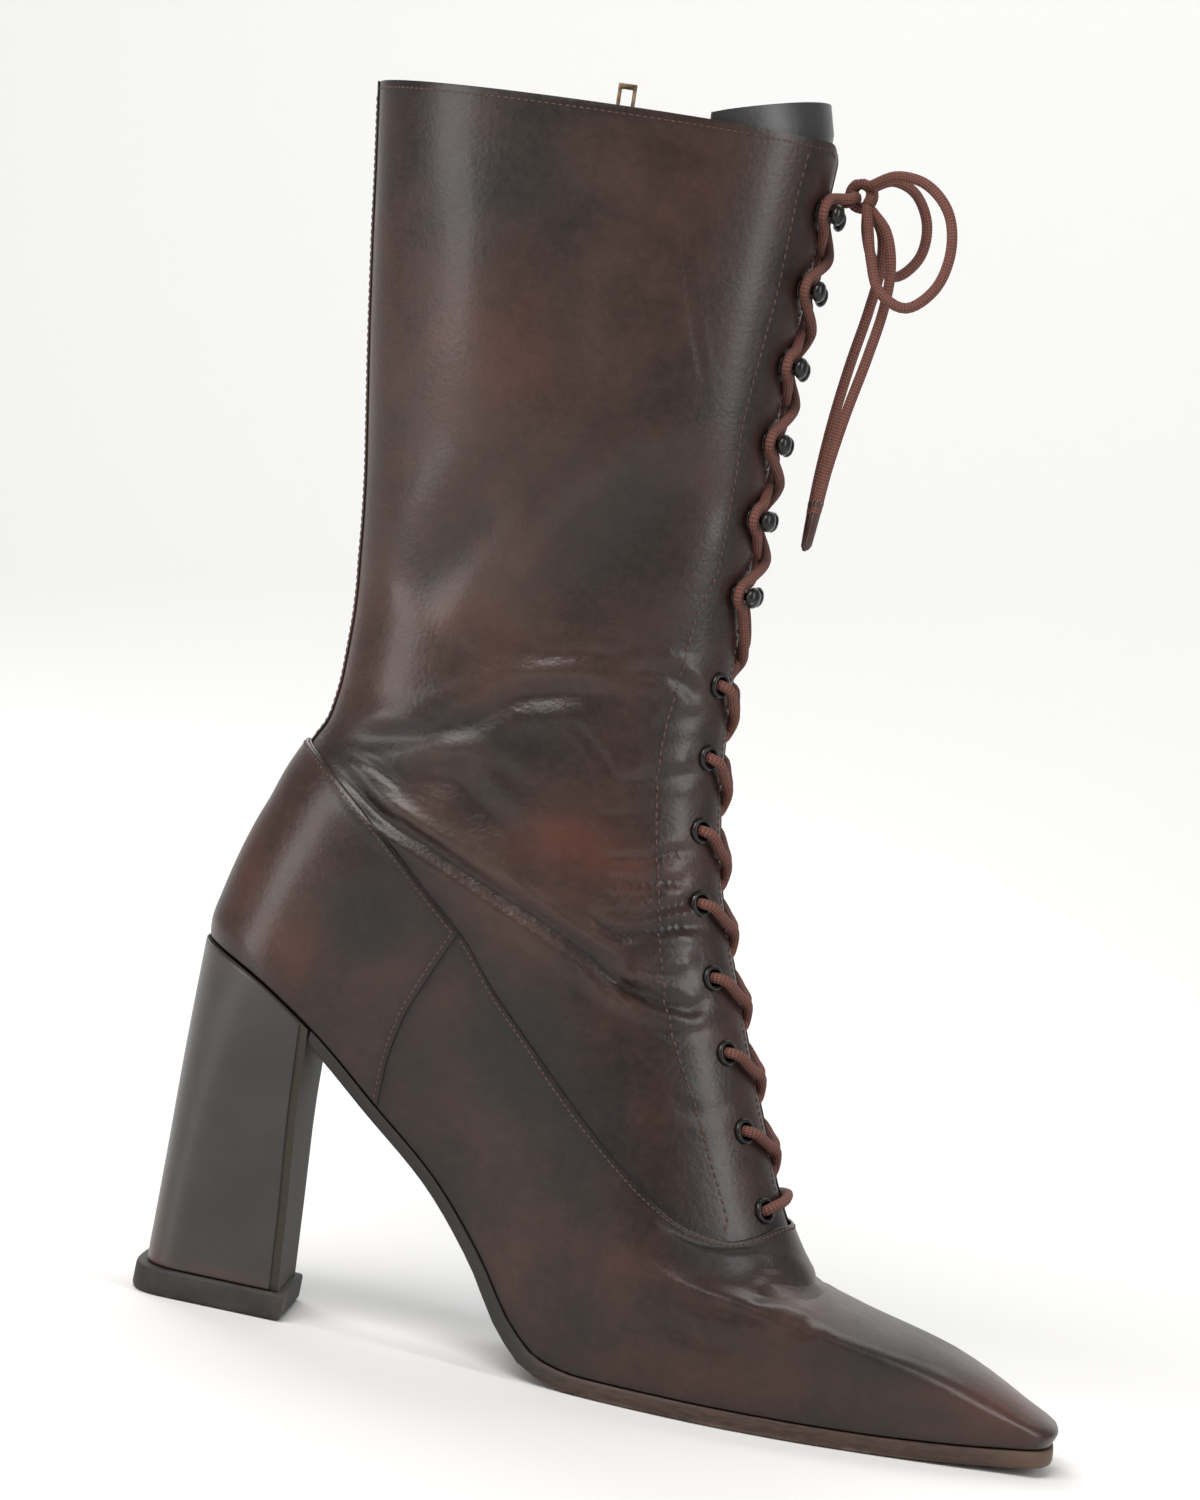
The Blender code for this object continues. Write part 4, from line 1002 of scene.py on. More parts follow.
# %% Lace over the hooks
for first in (-1, 1):
    side = -first
    over = 1.35 * first
    start = row_length(EYELET_ROWS - 1)
    route = [
        on_front(start + 0.5, facing_edge(start, first, 3.0), -2.7),
        on_front(start + 4.0, first * THROAT * 0.7, -1.6),
        on_front(start + 7.5, 0.0, -0.3 + 0.5 * over),
        on_front(start + 12.0, facing_edge(start, side, 1.0), 1.0),
    ]
    for row in range(EYELET_ROWS, EYELET_ROWS + HOOK_ROWS):
        route += [by_seat(row, side, up, away, out) for up, away, out in
                  ((-3.6, -0.6, 2.0), (-1.8, 2.1, 2.3), (0.2, 2.9, 2.4), (2.2, 2.0, 2.3), (3.8, -0.8, 2.1))]
        if row < EYELET_ROWS + HOOK_ROWS - 1:
            mid = (row_length(row) + row_length(row + 1)) / 2
            route.append(on_front(mid, 0.0, 0.75 + over))
        side = -side
    side = -side
    end = KNOT + (-1.2, side * 3.4, -0.8)
    route += [(np.asarray(route[-1]) + end) / 2 + (1.2, 0, 0), end]
    strands.append(sweep(f"strand_hooks_{'left' if first < 0 else 'right'}", through(route, 0.9), LACE / 2))
lacing = joined(strands)
lacing.name = lacing.data.name = "lacing"
hand_over(lacing, "lace")
print("lacing", len(lacing.data.polygons), "faces")

# %% [markdown]
# A stitch is a short length of waxed thread pulled into the leather. Modelled singly it would be hundreds
# of objects, so one stitch is shaped from a small sphere, and each seam repeats it along a line on the
# leather and joins the row into one piece.

# %% Sew a row of stitches
bpy.ops.object.select_all(action="DESELECT")
bpy.ops.mesh.primitive_uv_sphere_add(segments=6, ring_count=5, radius=1.0)
stitch = bpy.context.active_object
stitch.name = "stitch_master"
stitch_points = np.array([vert.co for vert in stitch.data.vertices])
stitch_points[:, 2] *= 1 + 0.15 * np.abs(stitch_points[:, 2])
stitch_faces = [tuple(face.vertices) for face in stitch.data.polygons]
bpy.data.objects.remove(stitch)


ON_SHAFT = 0.05 - VAMP_STEP
STITCH_TOP = 13.93
COLLAR_STITCHES = 13.955


def sew(name, levels, places, out, pitch, thick=0.26, share=0.66):
    """A row of stitches along a line of (level, place) on the leather, out millimetres above it."""
    levels = np.asarray(levels, float)
    places = np.asarray(places, float)
    away = outwards(levels, places)
    line = leather(levels, places) + away * out
    gone = lengths_along(line)
    count = max(2, int(gone[-1] / pitch))
    at = (np.arange(count) + 0.5) * gone[-1] / count
    middle = between(at, gone, line)
    outward = unit(between(at, gone, away))
    along = unit(between(at + 0.3, gone, line) - middle)
    across = unit(np.cross(outward, along))
    half = pitch * share / 2
    placed = (
        middle[:, None, :]
        + stitch_points[None, :, 2:3] * half * along[:, None, :]
        + stitch_points[None, :, 0:1] * thick * across[:, None, :]
        + stitch_points[None, :, 1:2] * thick * 0.8 * outward[:, None, :]
    )
    faces = []
    for i in range(count):
        faces += [tuple(corner + i * len(stitch_points) for corner in face) for face in stitch_faces]
    piece = add_mesh(name, metres(placed.reshape(-1, 3)), faces)
    edited(piece, FACE_OUTWARDS)
    hand_over(piece)
    seams.append(piece)
    print(name, count, "stitches")


seams = []
counter_top_place = counter_place(6.88)
quarter_places = np.linspace(-counter_top_place + 0.004, counter_top_place - 0.004, 600)
sew("stitches_quarter_seam", seam_level(quarter_places) - 0.125, quarter_places, 0.05, 1.65, thick=0.3)
over_counter = np.linspace(counter_top_place + 0.004, 2 - counter_top_place - 0.004, 240)
sew("stitches_counter_top", np.full(240, 6.84), over_counter, 0.94, 1.75)
for side, word in SIDES:
    levels = np.linspace(0.3, 6.8, 90)
    edge = np.array([counter_place(t) for t in levels])
    places = np.array([place_from(t, e, 1, 1.5) for t, e in zip(levels, edge)])
    sew(f"stitches_counter_{word}", levels, side * places, 0.94, 1.7, thick=0.3)

# %% Find the eyestay's seam on the last


def eyestay_place(t):
    """The place round section t where the eyestay's seam lies."""
    xs, heights = zip(*EYESTAY_SEAM)
    return place_on_seam(t, 0.03, 0.42, heights, xs)


eyestay_levels = np.linspace(7.12, STITCH_TOP, 200)
eyestay = np.array([eyestay_place(t) for t in eyestay_levels])
for side, word in SIDES:
    sew(f"stitches_eyestay_{word}", eyestay_levels, side * eyestay, ON_SHAFT, 2.35, thick=0.36)
    facing = np.array([place_from(t, THROAT, 1, 2.0) for t in eyestay_levels[4:-2]])
    sew(f"stitches_facing_{word}", eyestay_levels[4:-2], side * facing, ON_SHAFT, 1.8, thick=0.24)
collar_outer = np.linspace(-0.995, -0.062, 300)
sew("stitches_collar_outer", np.full(300, COLLAR_STITCHES), collar_outer, ON_SHAFT, 1.8)
for word, start, end in (("front", 0.062, ZIP_FRONT - 0.008), ("back", ZIP_BACK + 0.008, 0.995)):
    sew(f"stitches_collar_{word}", np.full(160, COLLAR_STITCHES), np.linspace(start, end, 160), ON_SHAFT, 1.8)
for word, edge, direction in (("front", ZIP_FRONT, -1), ("back", ZIP_BACK, 1)):
    levels = np.linspace(8.5, STITCH_TOP, 90)
    places = np.array([place_from(t, edge, direction, 2.2) for t in levels])
    sew(f"stitches_zip_{word}", levels, places, ON_SHAFT, 2.2)
for side, word in SIDES:
    levels = np.linspace(7.2, STITCH_TOP, 140)
    places = np.array([1 - side * (1 - place_from(t, 1.0, -1, 3.6)) for t in levels])
    sew(f"stitches_back_{word}", levels, places, 0.6 - VAMP_STEP, 1.9, thick=0.22)

# %% [markdown]
# The tongue is one thin leather that fills the throat from behind and stands a little above the collar. It
# is bent round the same last, set back under the facings, and its top is drawn up past the last section.

# %% Tongue
tongue_levels = spread((6.45, 40), (13.98, 0))
above = np.array((0.2, 0.4, 0.6, 0.8, 0.93, 1.0))
share = spread((-1.0, 30), (1.0, 0))
t_grid = np.repeat(tongue_levels[:, None], len(share), axis=1)
climb = (tongue_levels - 6.4) / (COLLAR - 6.4)
half = 0.24 + (0.345 - 0.24) * climb
points = leather(t_grid, half[:, None] * share[None, :], -3.22)
top = last(COLLAR, 0.345 * share, -3.22)
lean = unit(np.array((-0.3, 0, 1.0)))
forward = (top[:, 0] - top[:, 0].min()) / np.ptp(top[:, 0])
rounded = 0.1 + 0.9 * forward**0.9
wave = 0.3 * np.sin(share * 5.0)
over = top[None, :, :] + lean * 9.6 * (above[:, None] * rounded[None, :])[..., None]
over = over + np.array((1, 0, 0)) * (above[:, None] ** 2 * wave[None, :])[..., None]
points = np.concatenate((points, over))
tongue = bent_grid("tongue_leather", points)
face_towards(tongue, 0, 1)
thicken(tongue, 1.4, -1, bevel=0.35, segments=3, sharp=60)
hand_over(tongue, "tongue")
print("tongue", len(tongue.data.polygons), "faces")

# %% [markdown]
# The sole is cut a millimetre wider than the upper, with a trimmed edge that is a little round. It is built
# as loops that follow the foot's plan, one for each line of the edge, and closed across above and below.
# The heel block and its rubber top piece are stacked loops too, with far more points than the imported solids
# have.

# %% Stacked loops


def stacked(name, loops):
    """A closed piece from loops of points in table millimetres, each from one end round to the other."""
    n = len(loops[0])
    points = np.concatenate([np.asarray(loop, float) for loop in loops])
    faces = []
    for level in range(len(loops) - 1):
        for i in range(n):
            j = (i + 1) % n
            faces.append((level * n + i, level * n + j, (level + 1) * n + j, (level + 1) * n + i))
    for level in (0, len(loops) - 1):
        for i in range(n // 2 - (1 if n % 2 == 0 else 0)):
            quad = [level * n + k for k in (i, i + 1, n - 2 - i, n - 1 - i)]
            faces.append(tuple(dict.fromkeys(quad)))
    piece = add_mesh(name, metres(points), [face for face in faces if len(face) > 2])
    edited(piece, (bpy.ops.mesh.remove_doubles, {"threshold": 0.005 * MM}), FACE_OUTWARDS)
    smooth_shading(piece, 40)
    print(name, len(piece.data.polygons), "faces")
    return piece


def sole_edge(places, margin):
    """The plan of the upper at the sole, grown by margin, with the x of the upper's own edge."""
    here = ring(0.0, places)
    step = ring(0.0, places + 0.002) - ring(0.0, places - 0.002)
    outward = unit(np.stack((step[:, 1], -step[:, 0], np.zeros(len(step))), axis=1))
    middle = here - (ORIGIN_X, 0, 0)
    flip = np.sign((outward * middle * (1, 1, 0)).sum(axis=1, keepdims=True))
    return here + outward * flip * margin, here[:, 0]


BREAST = 0.761
sole_half = spread((0.0, 70), (0.14, 60), (BREAST, 0))
sole_places = np.concatenate((-sole_half[::-1], sole_half[1:]))
breast_x = float(ring(0.0, BREAST)[0])
loops = []
# how far each line of the edge moves out, and how deep it lies in the sole's thickness
SOLE_EDGE = ((-1.6, 0.0), (-0.35, 0.0), (-0.08, 0.1), (0.0, 0.28), (0.0, 0.72), (-0.25, 0.9), (-0.9, 1.0))
for change, depth in SOLE_EDGE:
    edge, seat_x = sole_edge(sole_places, 1.0 + change)
    slope = smooth(SOLE_X, SOLE_TOP, seat_x + 0.5) - smooth(SOLE_X, SOLE_TOP, seat_x - 0.5)
    long = np.hypot(1, slope)
    deep = depth * smooth(SOLE_X, SOLE_THICK, seat_x)
    x = np.maximum(seat_x + slope / long * deep + edge[:, 0] - seat_x, breast_x)
    z = smooth(SOLE_X, SOLE_TOP, seat_x) - deep / long
    loops.append(np.stack((x, edge[:, 1], z), axis=1))
outsole = stacked("sole_leather", loops)
hand_over(outsole, "outsole")

# %% Heel block, side cover and top piece
HEEL_LEVEL = (0.0, 0.3, 0.7, 1.0)
HEEL_REAR = (3.4, 3.0, 2.2, 1.9)
HEEL_BREAST = (40.6, 39.0, 36.6, 35.7)
HEEL_HALF = (18.6, 19.4, 22.6, 27.1)
HEEL_CORNER = (11, 13, 19, 27)
HEEL_POWER = (2.8, 2.7, 2.4, 2.1)
TOP_PIECE_HEIGHT = 7.0
TOP_PIECE_REAR = 1.0
TOP_PIECE_FRONT = 42.2
TOP_PIECE_HALF = 19.8
TOP_PIECE_EDGE = ((1.4, 0.0), (0.5, 0.12), (0.12, 0.6), (0.0, 1.2), (0.0, 5.9), (0.15, 6.6), (0.6, 7.0),
                  (2.0, 7.02))
# shares of the way from the rear to the breast, closer together at the rear
from_rear = (1 - np.cos(np.linspace(0, 1, 60) * math.pi / 2)) ** 1.15


def heel_half_loop(level, inset, stop_short=0.0):
    """The x and y of half of the heel's outline at a level, set in by inset."""
    rear, breast, half, corner, power = (
        float(smooth(HEEL_LEVEL, values, level))
        for values in (HEEL_REAR, HEEL_BREAST, HEEL_HALF, HEEL_CORNER, HEEL_POWER)
    )
    x = rear + inset + (breast - inset - stop_short - rear - inset) * from_rear
    return x, (half - inset) * rounding(x - rear - inset, corner, power)


def mirrored(x, y, z):
    """A loop through the half's points at -y, then through those at y."""
    half = np.stack((x, y, np.broadcast_to(z, x.shape)), axis=1)
    return np.concatenate(((half * (1, -1, 1))[::-1], half[1:]))


def heel_height(x, level):
    foot = TOP_PIECE_HEIGHT + 0.2
    return foot + (smooth(SOLE_X, SOLE_TOP, x) - 0.35 - foot) * level


heel_levels = spread((0.0, 4), (0.06, 26), (0.94, 4), (1.0, 0))
loops = []
for level in heel_levels:
    x, y = heel_half_loop(level, 0.45)
    rim = 0.35 * np.clip(1 - min(level, 1 - level) / 0.012, 0, 1)
    loops.append(mirrored(x, y - rim, heel_height(x, level)))
heel = stacked("heel_block", loops)
hand_over(heel, "heel")

loops = []
for level in heel_levels:
    x, y = heel_half_loop(level, 0.38, stop_short=2.4)
    loops.append(mirrored(x, y, heel_height(x, min(max(level, 0.004), 0.996))))
cover = bent_grid("heel_cover", np.array(loops))
face_towards(cover, 0, -1)
thicken(cover, 0.42, 1, bevel=0.16, segments=2, sharp=60)
hand_over(cover)

loops = []
for inset, z in TOP_PIECE_EDGE:
    rear = TOP_PIECE_REAR + inset
    x = rear + (TOP_PIECE_FRONT - 2 * inset - TOP_PIECE_REAR) * from_rear
    loops.append(mirrored(x, (TOP_PIECE_HALF - inset) * rounding(x - rear, 11.5, 3.2), z))
top_piece = stacked("rubber_top_piece", loops)
hand_over(top_piece, "top_piece")

# %% [markdown]
# The zip closes the inner side. Its tape lies behind the slot, and its teeth are one small block, repeated
# up the tape in two rows that mesh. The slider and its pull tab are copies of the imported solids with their
# edges softened, so that the metal catches the light.

# %% Zip
tape_levels = spread((8.1, 52), (13.97, 0))
tape_share = spread((-1.0, 10), (1.0, 0))
t_grid = np.repeat(tape_levels[:, None], len(tape_share), axis=1)
points = leather(t_grid, 0.5 + 0.05 * tape_share[None, :] + 0 * t_grid, -2.95)
tape = bent_grid("zip_tape_cloth", points)
face_towards(tape, 1, 1)
apply(tape, "SOLIDIFY", thickness=0.8 * MM, offset=-1, use_even_offset=True, use_rim=True)
hand_over(tape, "zip_tape")

# %% Teeth, slider and pull
bpy.ops.object.select_all(action="DESELECT")
bpy.ops.mesh.primitive_cube_add(size=1.0)
tooth = bpy.context.active_object
edited(tooth, (bpy.ops.mesh.bevel, {"offset": 0.16, "segments": 1}))
tooth_points = np.array([vert.co for vert in tooth.data.vertices])
tooth_faces = [tuple(face.vertices) for face in tooth.data.polygons]
bpy.data.objects.remove(tooth)
levels = np.linspace(8.7, STITCH_TOP, 240)
line = leather(levels, np.full(240, 0.5), -2.4)
gone = lengths_along(line)
count = int(gone[-1] / 1.25)
placed, faces = [], []
for i in range(count):
    t = float(np.interp(gone[-1] * (i + 0.5) / count, gone, levels))
    middle = leather(t, 0.5, -2.35)
    out = outwards(t, 0.5)
    rise = unit(leather(t + 0.05, 0.5) - leather(t - 0.05, 0.5))
    across = np.cross(out, rise)
    shift = 0.85 if i % 2 else -0.85
    block = (middle + (tooth_points[:, 0:1] * 2.5 + shift) * across + tooth_points[:, 1:2] * 1.5 * out
             + tooth_points[:, 2:3] * 0.82 * rise)
    faces += [tuple(corner + len(placed) * len(tooth_points) for corner in face) for face in tooth_faces]
    placed.append(block)
teeth = add_mesh("zip_teeth", metres(np.concatenate(placed)), faces)
teeth.data.set_sharp_from_angle(angle=math.radians(30))
hand_over(teeth, "zip_chain")


def softened(node, name, body):
    """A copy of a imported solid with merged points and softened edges."""
    made = frame["nodes"][node].copy()
    made.data = made.data.copy()
    made.name = made.data.name = name
    made.parent = None
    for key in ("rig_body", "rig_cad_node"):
        if key in made:
            del made[key]
    bpy.context.scene.collection.objects.link(made)
    edited(
        made,
        (bpy.ops.mesh.remove_doubles, {"threshold": 0.004 * MM}),
        (bpy.ops.mesh.tris_convert_to_quads, {}),
    )
    bevelled(made, 0.14, 3, angle=40)
    smooth_shading(made, 50)
    hand_over(made, node, body)
    return made


slider = softened("zip_slider", "slider_body", "boot")
pull = softened("zip_pull", "pull_tab", "pull")
print("zip", count, "teeth")

# %% [markdown]
# Each finish is a small network of nodes. Writing the sums as sums keeps them readable: a wire wraps a
# socket, and adding or multiplying two wires adds a Math node. Colours are blended with Mix nodes, because
# a Math node would turn them grey.

# %% Shader maths


class Wire:
    """A value in a finish, so that its sums read like sums."""

    def __init__(self, finish, socket):
        self.finish = finish
        self.socket = socket

    def maths(self, operation, first, second):
        return self.finish.node("ShaderNodeMath", {"operation": operation}, {0: first, 1: second})

    def __add__(self, other):
        return self.maths("ADD", self, other)

    def __radd__(self, other):
        return self.maths("ADD", other, self)

    def __sub__(self, other):
        return self.maths("SUBTRACT", self, other)

    def __rsub__(self, other):
        return self.maths("SUBTRACT", other, self)

    def __mul__(self, other):
        return self.maths("MULTIPLY", self, other)

    def __rmul__(self, other):
        return self.maths("MULTIPLY", other, self)


class Finish:
    """A material and the ways to add nodes to it."""

    def __init__(self, name):
        self.material = material_named(name)
        self.material.use_nodes = True
        self.tree = self.material.node_tree
        self.shader = self.tree.nodes["Principled BSDF"]
        self.here = self.node("ShaderNodeTexCoord", output="Object")

    def node(self, kind, settings=None, values=None, output=0):
        made = self.tree.nodes.new(kind)
        for key, value in (settings or {}).items():
            setattr(made, key, value)
        for key, value in (values or {}).items():
            self.put(made.inputs[key], value)
        return Wire(self, made.outputs[output])

    def put(self, socket, value):
        if isinstance(value, Wire):
            self.tree.links.new(value.socket, socket)
        else:
            socket.default_value = value

    def noise(self, scale, detail=3.0, rough=0.5, at=None, twist=0.0):
        values = {"Vector": at or self.here, "Scale": scale, "Detail": detail, "Roughness": rough,
                  "Distortion": twist}
        return self.node("ShaderNodeTexNoise", {}, values)

    def cells(self, scale):
        return self.node("ShaderNodeTexVoronoi", {}, {"Vector": self.here, "Scale": scale})

    def axis(self, name, vector=None):
        """One number of a vector, by default of the place on the piece."""
        return self.node("ShaderNodeSeparateXYZ", {}, {0: vector or self.here}, output=name)

    def stretched(self, scale, turn=(0, 0, 0)):
        values = {"Vector": self.here, "Scale": scale, "Rotation": turn}
        return self.node("ShaderNodeMapping", {}, values)

    def rise(self, value, low, high):
        values = {"Value": value, "From Min": low, "From Max": high}
        return self.node("ShaderNodeMapRange", {"interpolation_type": "SMOOTHSTEP"}, values)

    def mark(self, name):
        return self.node("ShaderNodeAttribute", {"attribute_name": name}, output="Fac")

    def blend(self, factor, first, second):
        first = first if isinstance(first, Wire) else (*first, 1)
        second = second if isinstance(second, Wire) else (*second, 1)
        return self.node("ShaderNodeMix", {"data_type": "RGBA"}, {0: factor, 6: first, 7: second}, output=2)

    def bump(self, height, distance, strength=1.0, under=None):
        values = {"Height": height, "Distance": distance, "Strength": strength}
        if under is not None:
            values["Normal"] = under
        return self.node("ShaderNodeBump", {}, values)

    def finish(self, **sockets):
        for name, value in sockets.items():
            self.put(self.shader.inputs[name.replace("_", " ")], value)
        return self.material


def dress(material, *pieces):
    for piece in pieces:
        piece.data.materials.clear()
        piece.data.materials.append(material)


# %% [markdown]
# The leather is antiqued: a warm brown dyed over with black-green, rubbed back to red on the toe, the heel
# and the folds, and polished to a soft gloss. The clouds of dye were put where the boot has them, as marks on
# the mesh. Noise breaks their edges. The ridges of the folds are painted paler, partly as rubbed wear and
# partly as painted highlight. Their troughs are painted darker as painted shade, and so is the upper along
# the sole's edge. The grain is a fine bump, with long soft wrinkles and a few fine scratches.

# %% Antiqued leather
brown = Finish("leather")
warm, dark = brown.mark("warm"), brown.mark("dark")
seam, by_seam, lift = brown.mark("seam"), brown.mark("by_seam"), brown.mark("lift")
drift = brown.noise(16, 4, 0.55, twist=0.6)
mottle = brown.noise(58, 4, 0.6, twist=0.4)
fine = brown.noise(420, 3, 0.6)
strokes = brown.noise(60, 4, 0.6, at=brown.stretched((1.0, 1.0, 0.22), (0, 0.35, 0)))
patchy = brown.rise(drift + 0.55 * mottle + 0.16 * fine, 0.58, 1.16)
colour = brown.blend(patchy, (0.0105, 0.0068, 0.0054), (0.046, 0.0188, 0.0124))
rubbed = warm * (0.3 + 1.2 * mottle) + 0.7 * (strokes - 0.5) + 0.5 * (drift - 0.5)
red_mask = 0.5 * brown.rise(rubbed, 0.05, 1.25)
colour = brown.blend(red_mask, colour, (0.105, 0.029, 0.0165))
dark_mask = brown.rise(dark * (0.5 + 1.0 * mottle) + 0.3 * (strokes - 0.5), 0.0, 0.9)
colour = brown.blend(0.9 * dark_mask, colour, (0.0065, 0.006, 0.0052))
# darker by the seams and the collar's edge, and along the sole's edge as painted shade
colour = brown.blend(0.5 * by_seam, colour, (0.0075, 0.0052, 0.0042))
colour = brown.blend(0.7 * seam, colour, (0.006, 0.0035, 0.003))
# fold ridges painted paler: partly rubbed wear, partly painted highlight
colour = brown.blend(brown.rise(lift, 0.3, 1.2) * 0.22, colour, (0.075, 0.046, 0.034))
# fold troughs painted darker: painted shade in the creases
colour = brown.blend(brown.rise(0.0 - lift, 0.25, 1.1) * 0.6, colour, (0.006, 0.0045, 0.004))
colour = brown.blend(brown.rise(fine, 0.4, 0.8) * 0.07, colour, (0.085, 0.05, 0.036))
scratch = brown.noise(90, 5, 0.7, at=brown.stretched((1.0, 1.0, 0.08), (0.0, 0.9, 0.3)))
scratch_mask = brown.rise(scratch, 0.67, 0.78)
colour = brown.blend(scratch_mask * 0.25, colour, (0.12, 0.065, 0.045))
grain = brown.cells(780)
pores = brown.noise(1500, 2, 0.5)
wrinkle = brown.noise(190, 4, 0.6, at=brown.stretched((1.0, 1.0, 1.9), (0, 0.4, 0)), twist=0.8)
relief = brown.bump(grain * 0.6 + pores * 0.5, 0.0001, 0.75)
pinch = brown.mark("pinch")
relief = brown.bump(wrinkle * (0.55 + 0.7 * pinch), 0.0003, 0.55, under=relief)
relief = brown.bump(brown.noise(34, 3, 0.5), 0.0009, 0.35, under=relief)
brown.finish(
    Base_Color=colour,
    Roughness=0.32 + 0.22 * (mottle - 0.5) + 0.06 * dark_mask - 0.05 * red_mask + 0.12 * fine,
    Coat_Weight=0.12,
    Coat_Roughness=0.18,
    Specular_IOR_Level=0.38,
    Normal=relief,
)

# %% Lining, tongue and heel leather
lining = Finish("lining")
shade = lining.noise(30, 4, 0.6)
nap = lining.noise(900, 3, 0.6)
lining.finish(
    Base_Color=lining.blend(lining.rise(shade, 0.3, 0.7), (0.028, 0.019, 0.014), (0.05, 0.035, 0.026)),
    Roughness=0.6 + 0.15 * nap, Normal=lining.bump(nap, 0.00008, 0.4),
)
tongue_finish = Finish("tongue_leather")
shade = tongue_finish.noise(38, 4, 0.6, twist=0.5)
grain = tongue_finish.cells(700)
soft = tongue_finish.noise(110, 3, 0.5, twist=0.6)
tongue_finish.finish(
    Base_Color=tongue_finish.blend(tongue_finish.rise(shade, 0.3, 0.72), (0.011, 0.0125, 0.0105),
                                   (0.024, 0.026, 0.022)),
    Roughness=0.42 + 0.2 * (shade - 0.5), Coat_Weight=0.2, Coat_Roughness=0.3,
    Normal=tongue_finish.bump(soft, 0.0003, 0.4, under=tongue_finish.bump(grain, 0.00006, 0.5)),
)
heel_finish = Finish("heel_leather")
height = heel_finish.axis("Z")
forward = heel_finish.axis("X")
shade = heel_finish.noise(26, 4, 0.6, twist=0.5)
mottle = heel_finish.noise(85, 4, 0.6)
grain = heel_finish.cells(820)
rim = heel_finish.rise(height, 0.016, 0.0075) + heel_finish.rise(height, 0.079, 0.0925)
back_rub = heel_finish.rise(forward, -0.1125, -0.1195) * heel_finish.rise(height, 0.05, 0.012)
colour = heel_finish.blend(heel_finish.rise(shade + 0.3 * mottle, 0.42, 0.86), (0.0115, 0.0112, 0.0102),
                           (0.026, 0.023, 0.0195))
worn_rim = heel_finish.rise(rim * (0.3 + mottle), 0.35, 1.0)
colour = heel_finish.blend(worn_rim * 0.6, colour, (0.055, 0.024, 0.016))
colour = heel_finish.blend(back_rub * 0.4, colour, (0.07, 0.024, 0.015))
heel_finish.finish(
    Base_Color=colour,
    Roughness=0.42 + 0.2 * (mottle - 0.5),
    Coat_Weight=0.25,
    Coat_Roughness=0.3,
    Specular_IOR_Level=0.5,
    Normal=heel_finish.bump(heel_finish.noise(60, 3, 0.5), 0.0005, 0.3,
                            under=heel_finish.bump(grain, 0.00007, 0.5)),
)
breast_finish = Finish("heel_breast")
shade = breast_finish.noise(70, 4, 0.6)
breast_finish.finish(
    Base_Color=breast_finish.blend(shade, (0.026, 0.020, 0.016), (0.046, 0.037, 0.029)),
    Roughness=0.62, Specular_IOR_Level=0.25,
    Normal=breast_finish.bump(breast_finish.cells(820), 0.00006, 0.5),
)

# %% [markdown]
# The sole's edge is bare leather at the forefoot, palest at the toe, and blacked along the waist under the
# arch. The underside is scuffed by walking. The top piece is dull rubber with grit worn into it.

# %% Sole and top piece
sole_finish = Finish("sole_edge")
forward = sole_finish.axis("X")
height = sole_finish.axis("Z")
fibre = sole_finish.noise(240, 5, 0.65, at=sole_finish.stretched((1, 1, 6)))
blot = sole_finish.noise(36, 4, 0.6, twist=0.4)
pale = sole_finish.rise(fibre + 0.4 * blot, 0.45, 0.95)
colour = sole_finish.blend(pale, (0.017, 0.0085, 0.0055), (0.062, 0.030, 0.018))
colour = sole_finish.blend(sole_finish.rise(forward, 0.094, 0.122) * 0.6, colour, (0.125, 0.072, 0.042))
waist = sole_finish.rise(forward, -0.004, -0.022)
colour = sole_finish.blend(waist, colour, (0.012, 0.010, 0.009))
under = sole_finish.rise(height, 0.0012, 0.0004)
scuff = sole_finish.noise(48, 6, 0.7, twist=1.2)
colour = sole_finish.blend(under * sole_finish.rise(scuff, 0.35, 0.7), colour, (0.17, 0.12, 0.085))
sole_finish.finish(
    Base_Color=colour, Roughness=0.62 + 0.2 * (fibre - 0.5),
    Normal=sole_finish.bump(fibre, 0.0002, 0.5),
)
rubber = Finish("worn_rubber")
grit = rubber.noise(480, 4, 0.7)
patch = rubber.noise(60, 4, 0.6)
rubber.finish(
    Base_Color=rubber.blend(rubber.rise(patch + 0.3 * grit, 0.5, 0.9), (0.012, 0.0105, 0.009),
                            (0.036, 0.028, 0.022)),
    Roughness=0.7 + 0.2 * (grit - 0.5), Normal=rubber.bump(grit, 0.00025, 0.5),
)

# %% [markdown]
# The lace is a braid of red-brown threads. Its tube carries a map, turns across and millimetres along, so the
# plait can be drawn as two sets of slanted waves that cross each other. Where the threads dip under each
# other, the colour is darkened as painted shade. The zip tape's ribs are painted darker in their grooves,
# also as painted shade. The enamel and the zip's metal are worn bright only where noise breaks their finish.

# %% Lace, thread and metal
braid = Finish("braided_lace")
uv = braid.node("ShaderNodeUVMap", {"uv_map": "UVMap"})
turns = braid.axis("X", uv)
along = braid.axis("Y", uv)


def wave(value):
    return value.maths("SINE", value, 0.0)


left = wave((turns * 6 + along * 0.62) * math.tau)
right_hand = wave((turns * 6 - along * 0.62) * math.tau)
plait = left * right_hand
fluff = braid.noise(700, 4, 0.7)
tone = braid.noise(60, 3, 0.6)
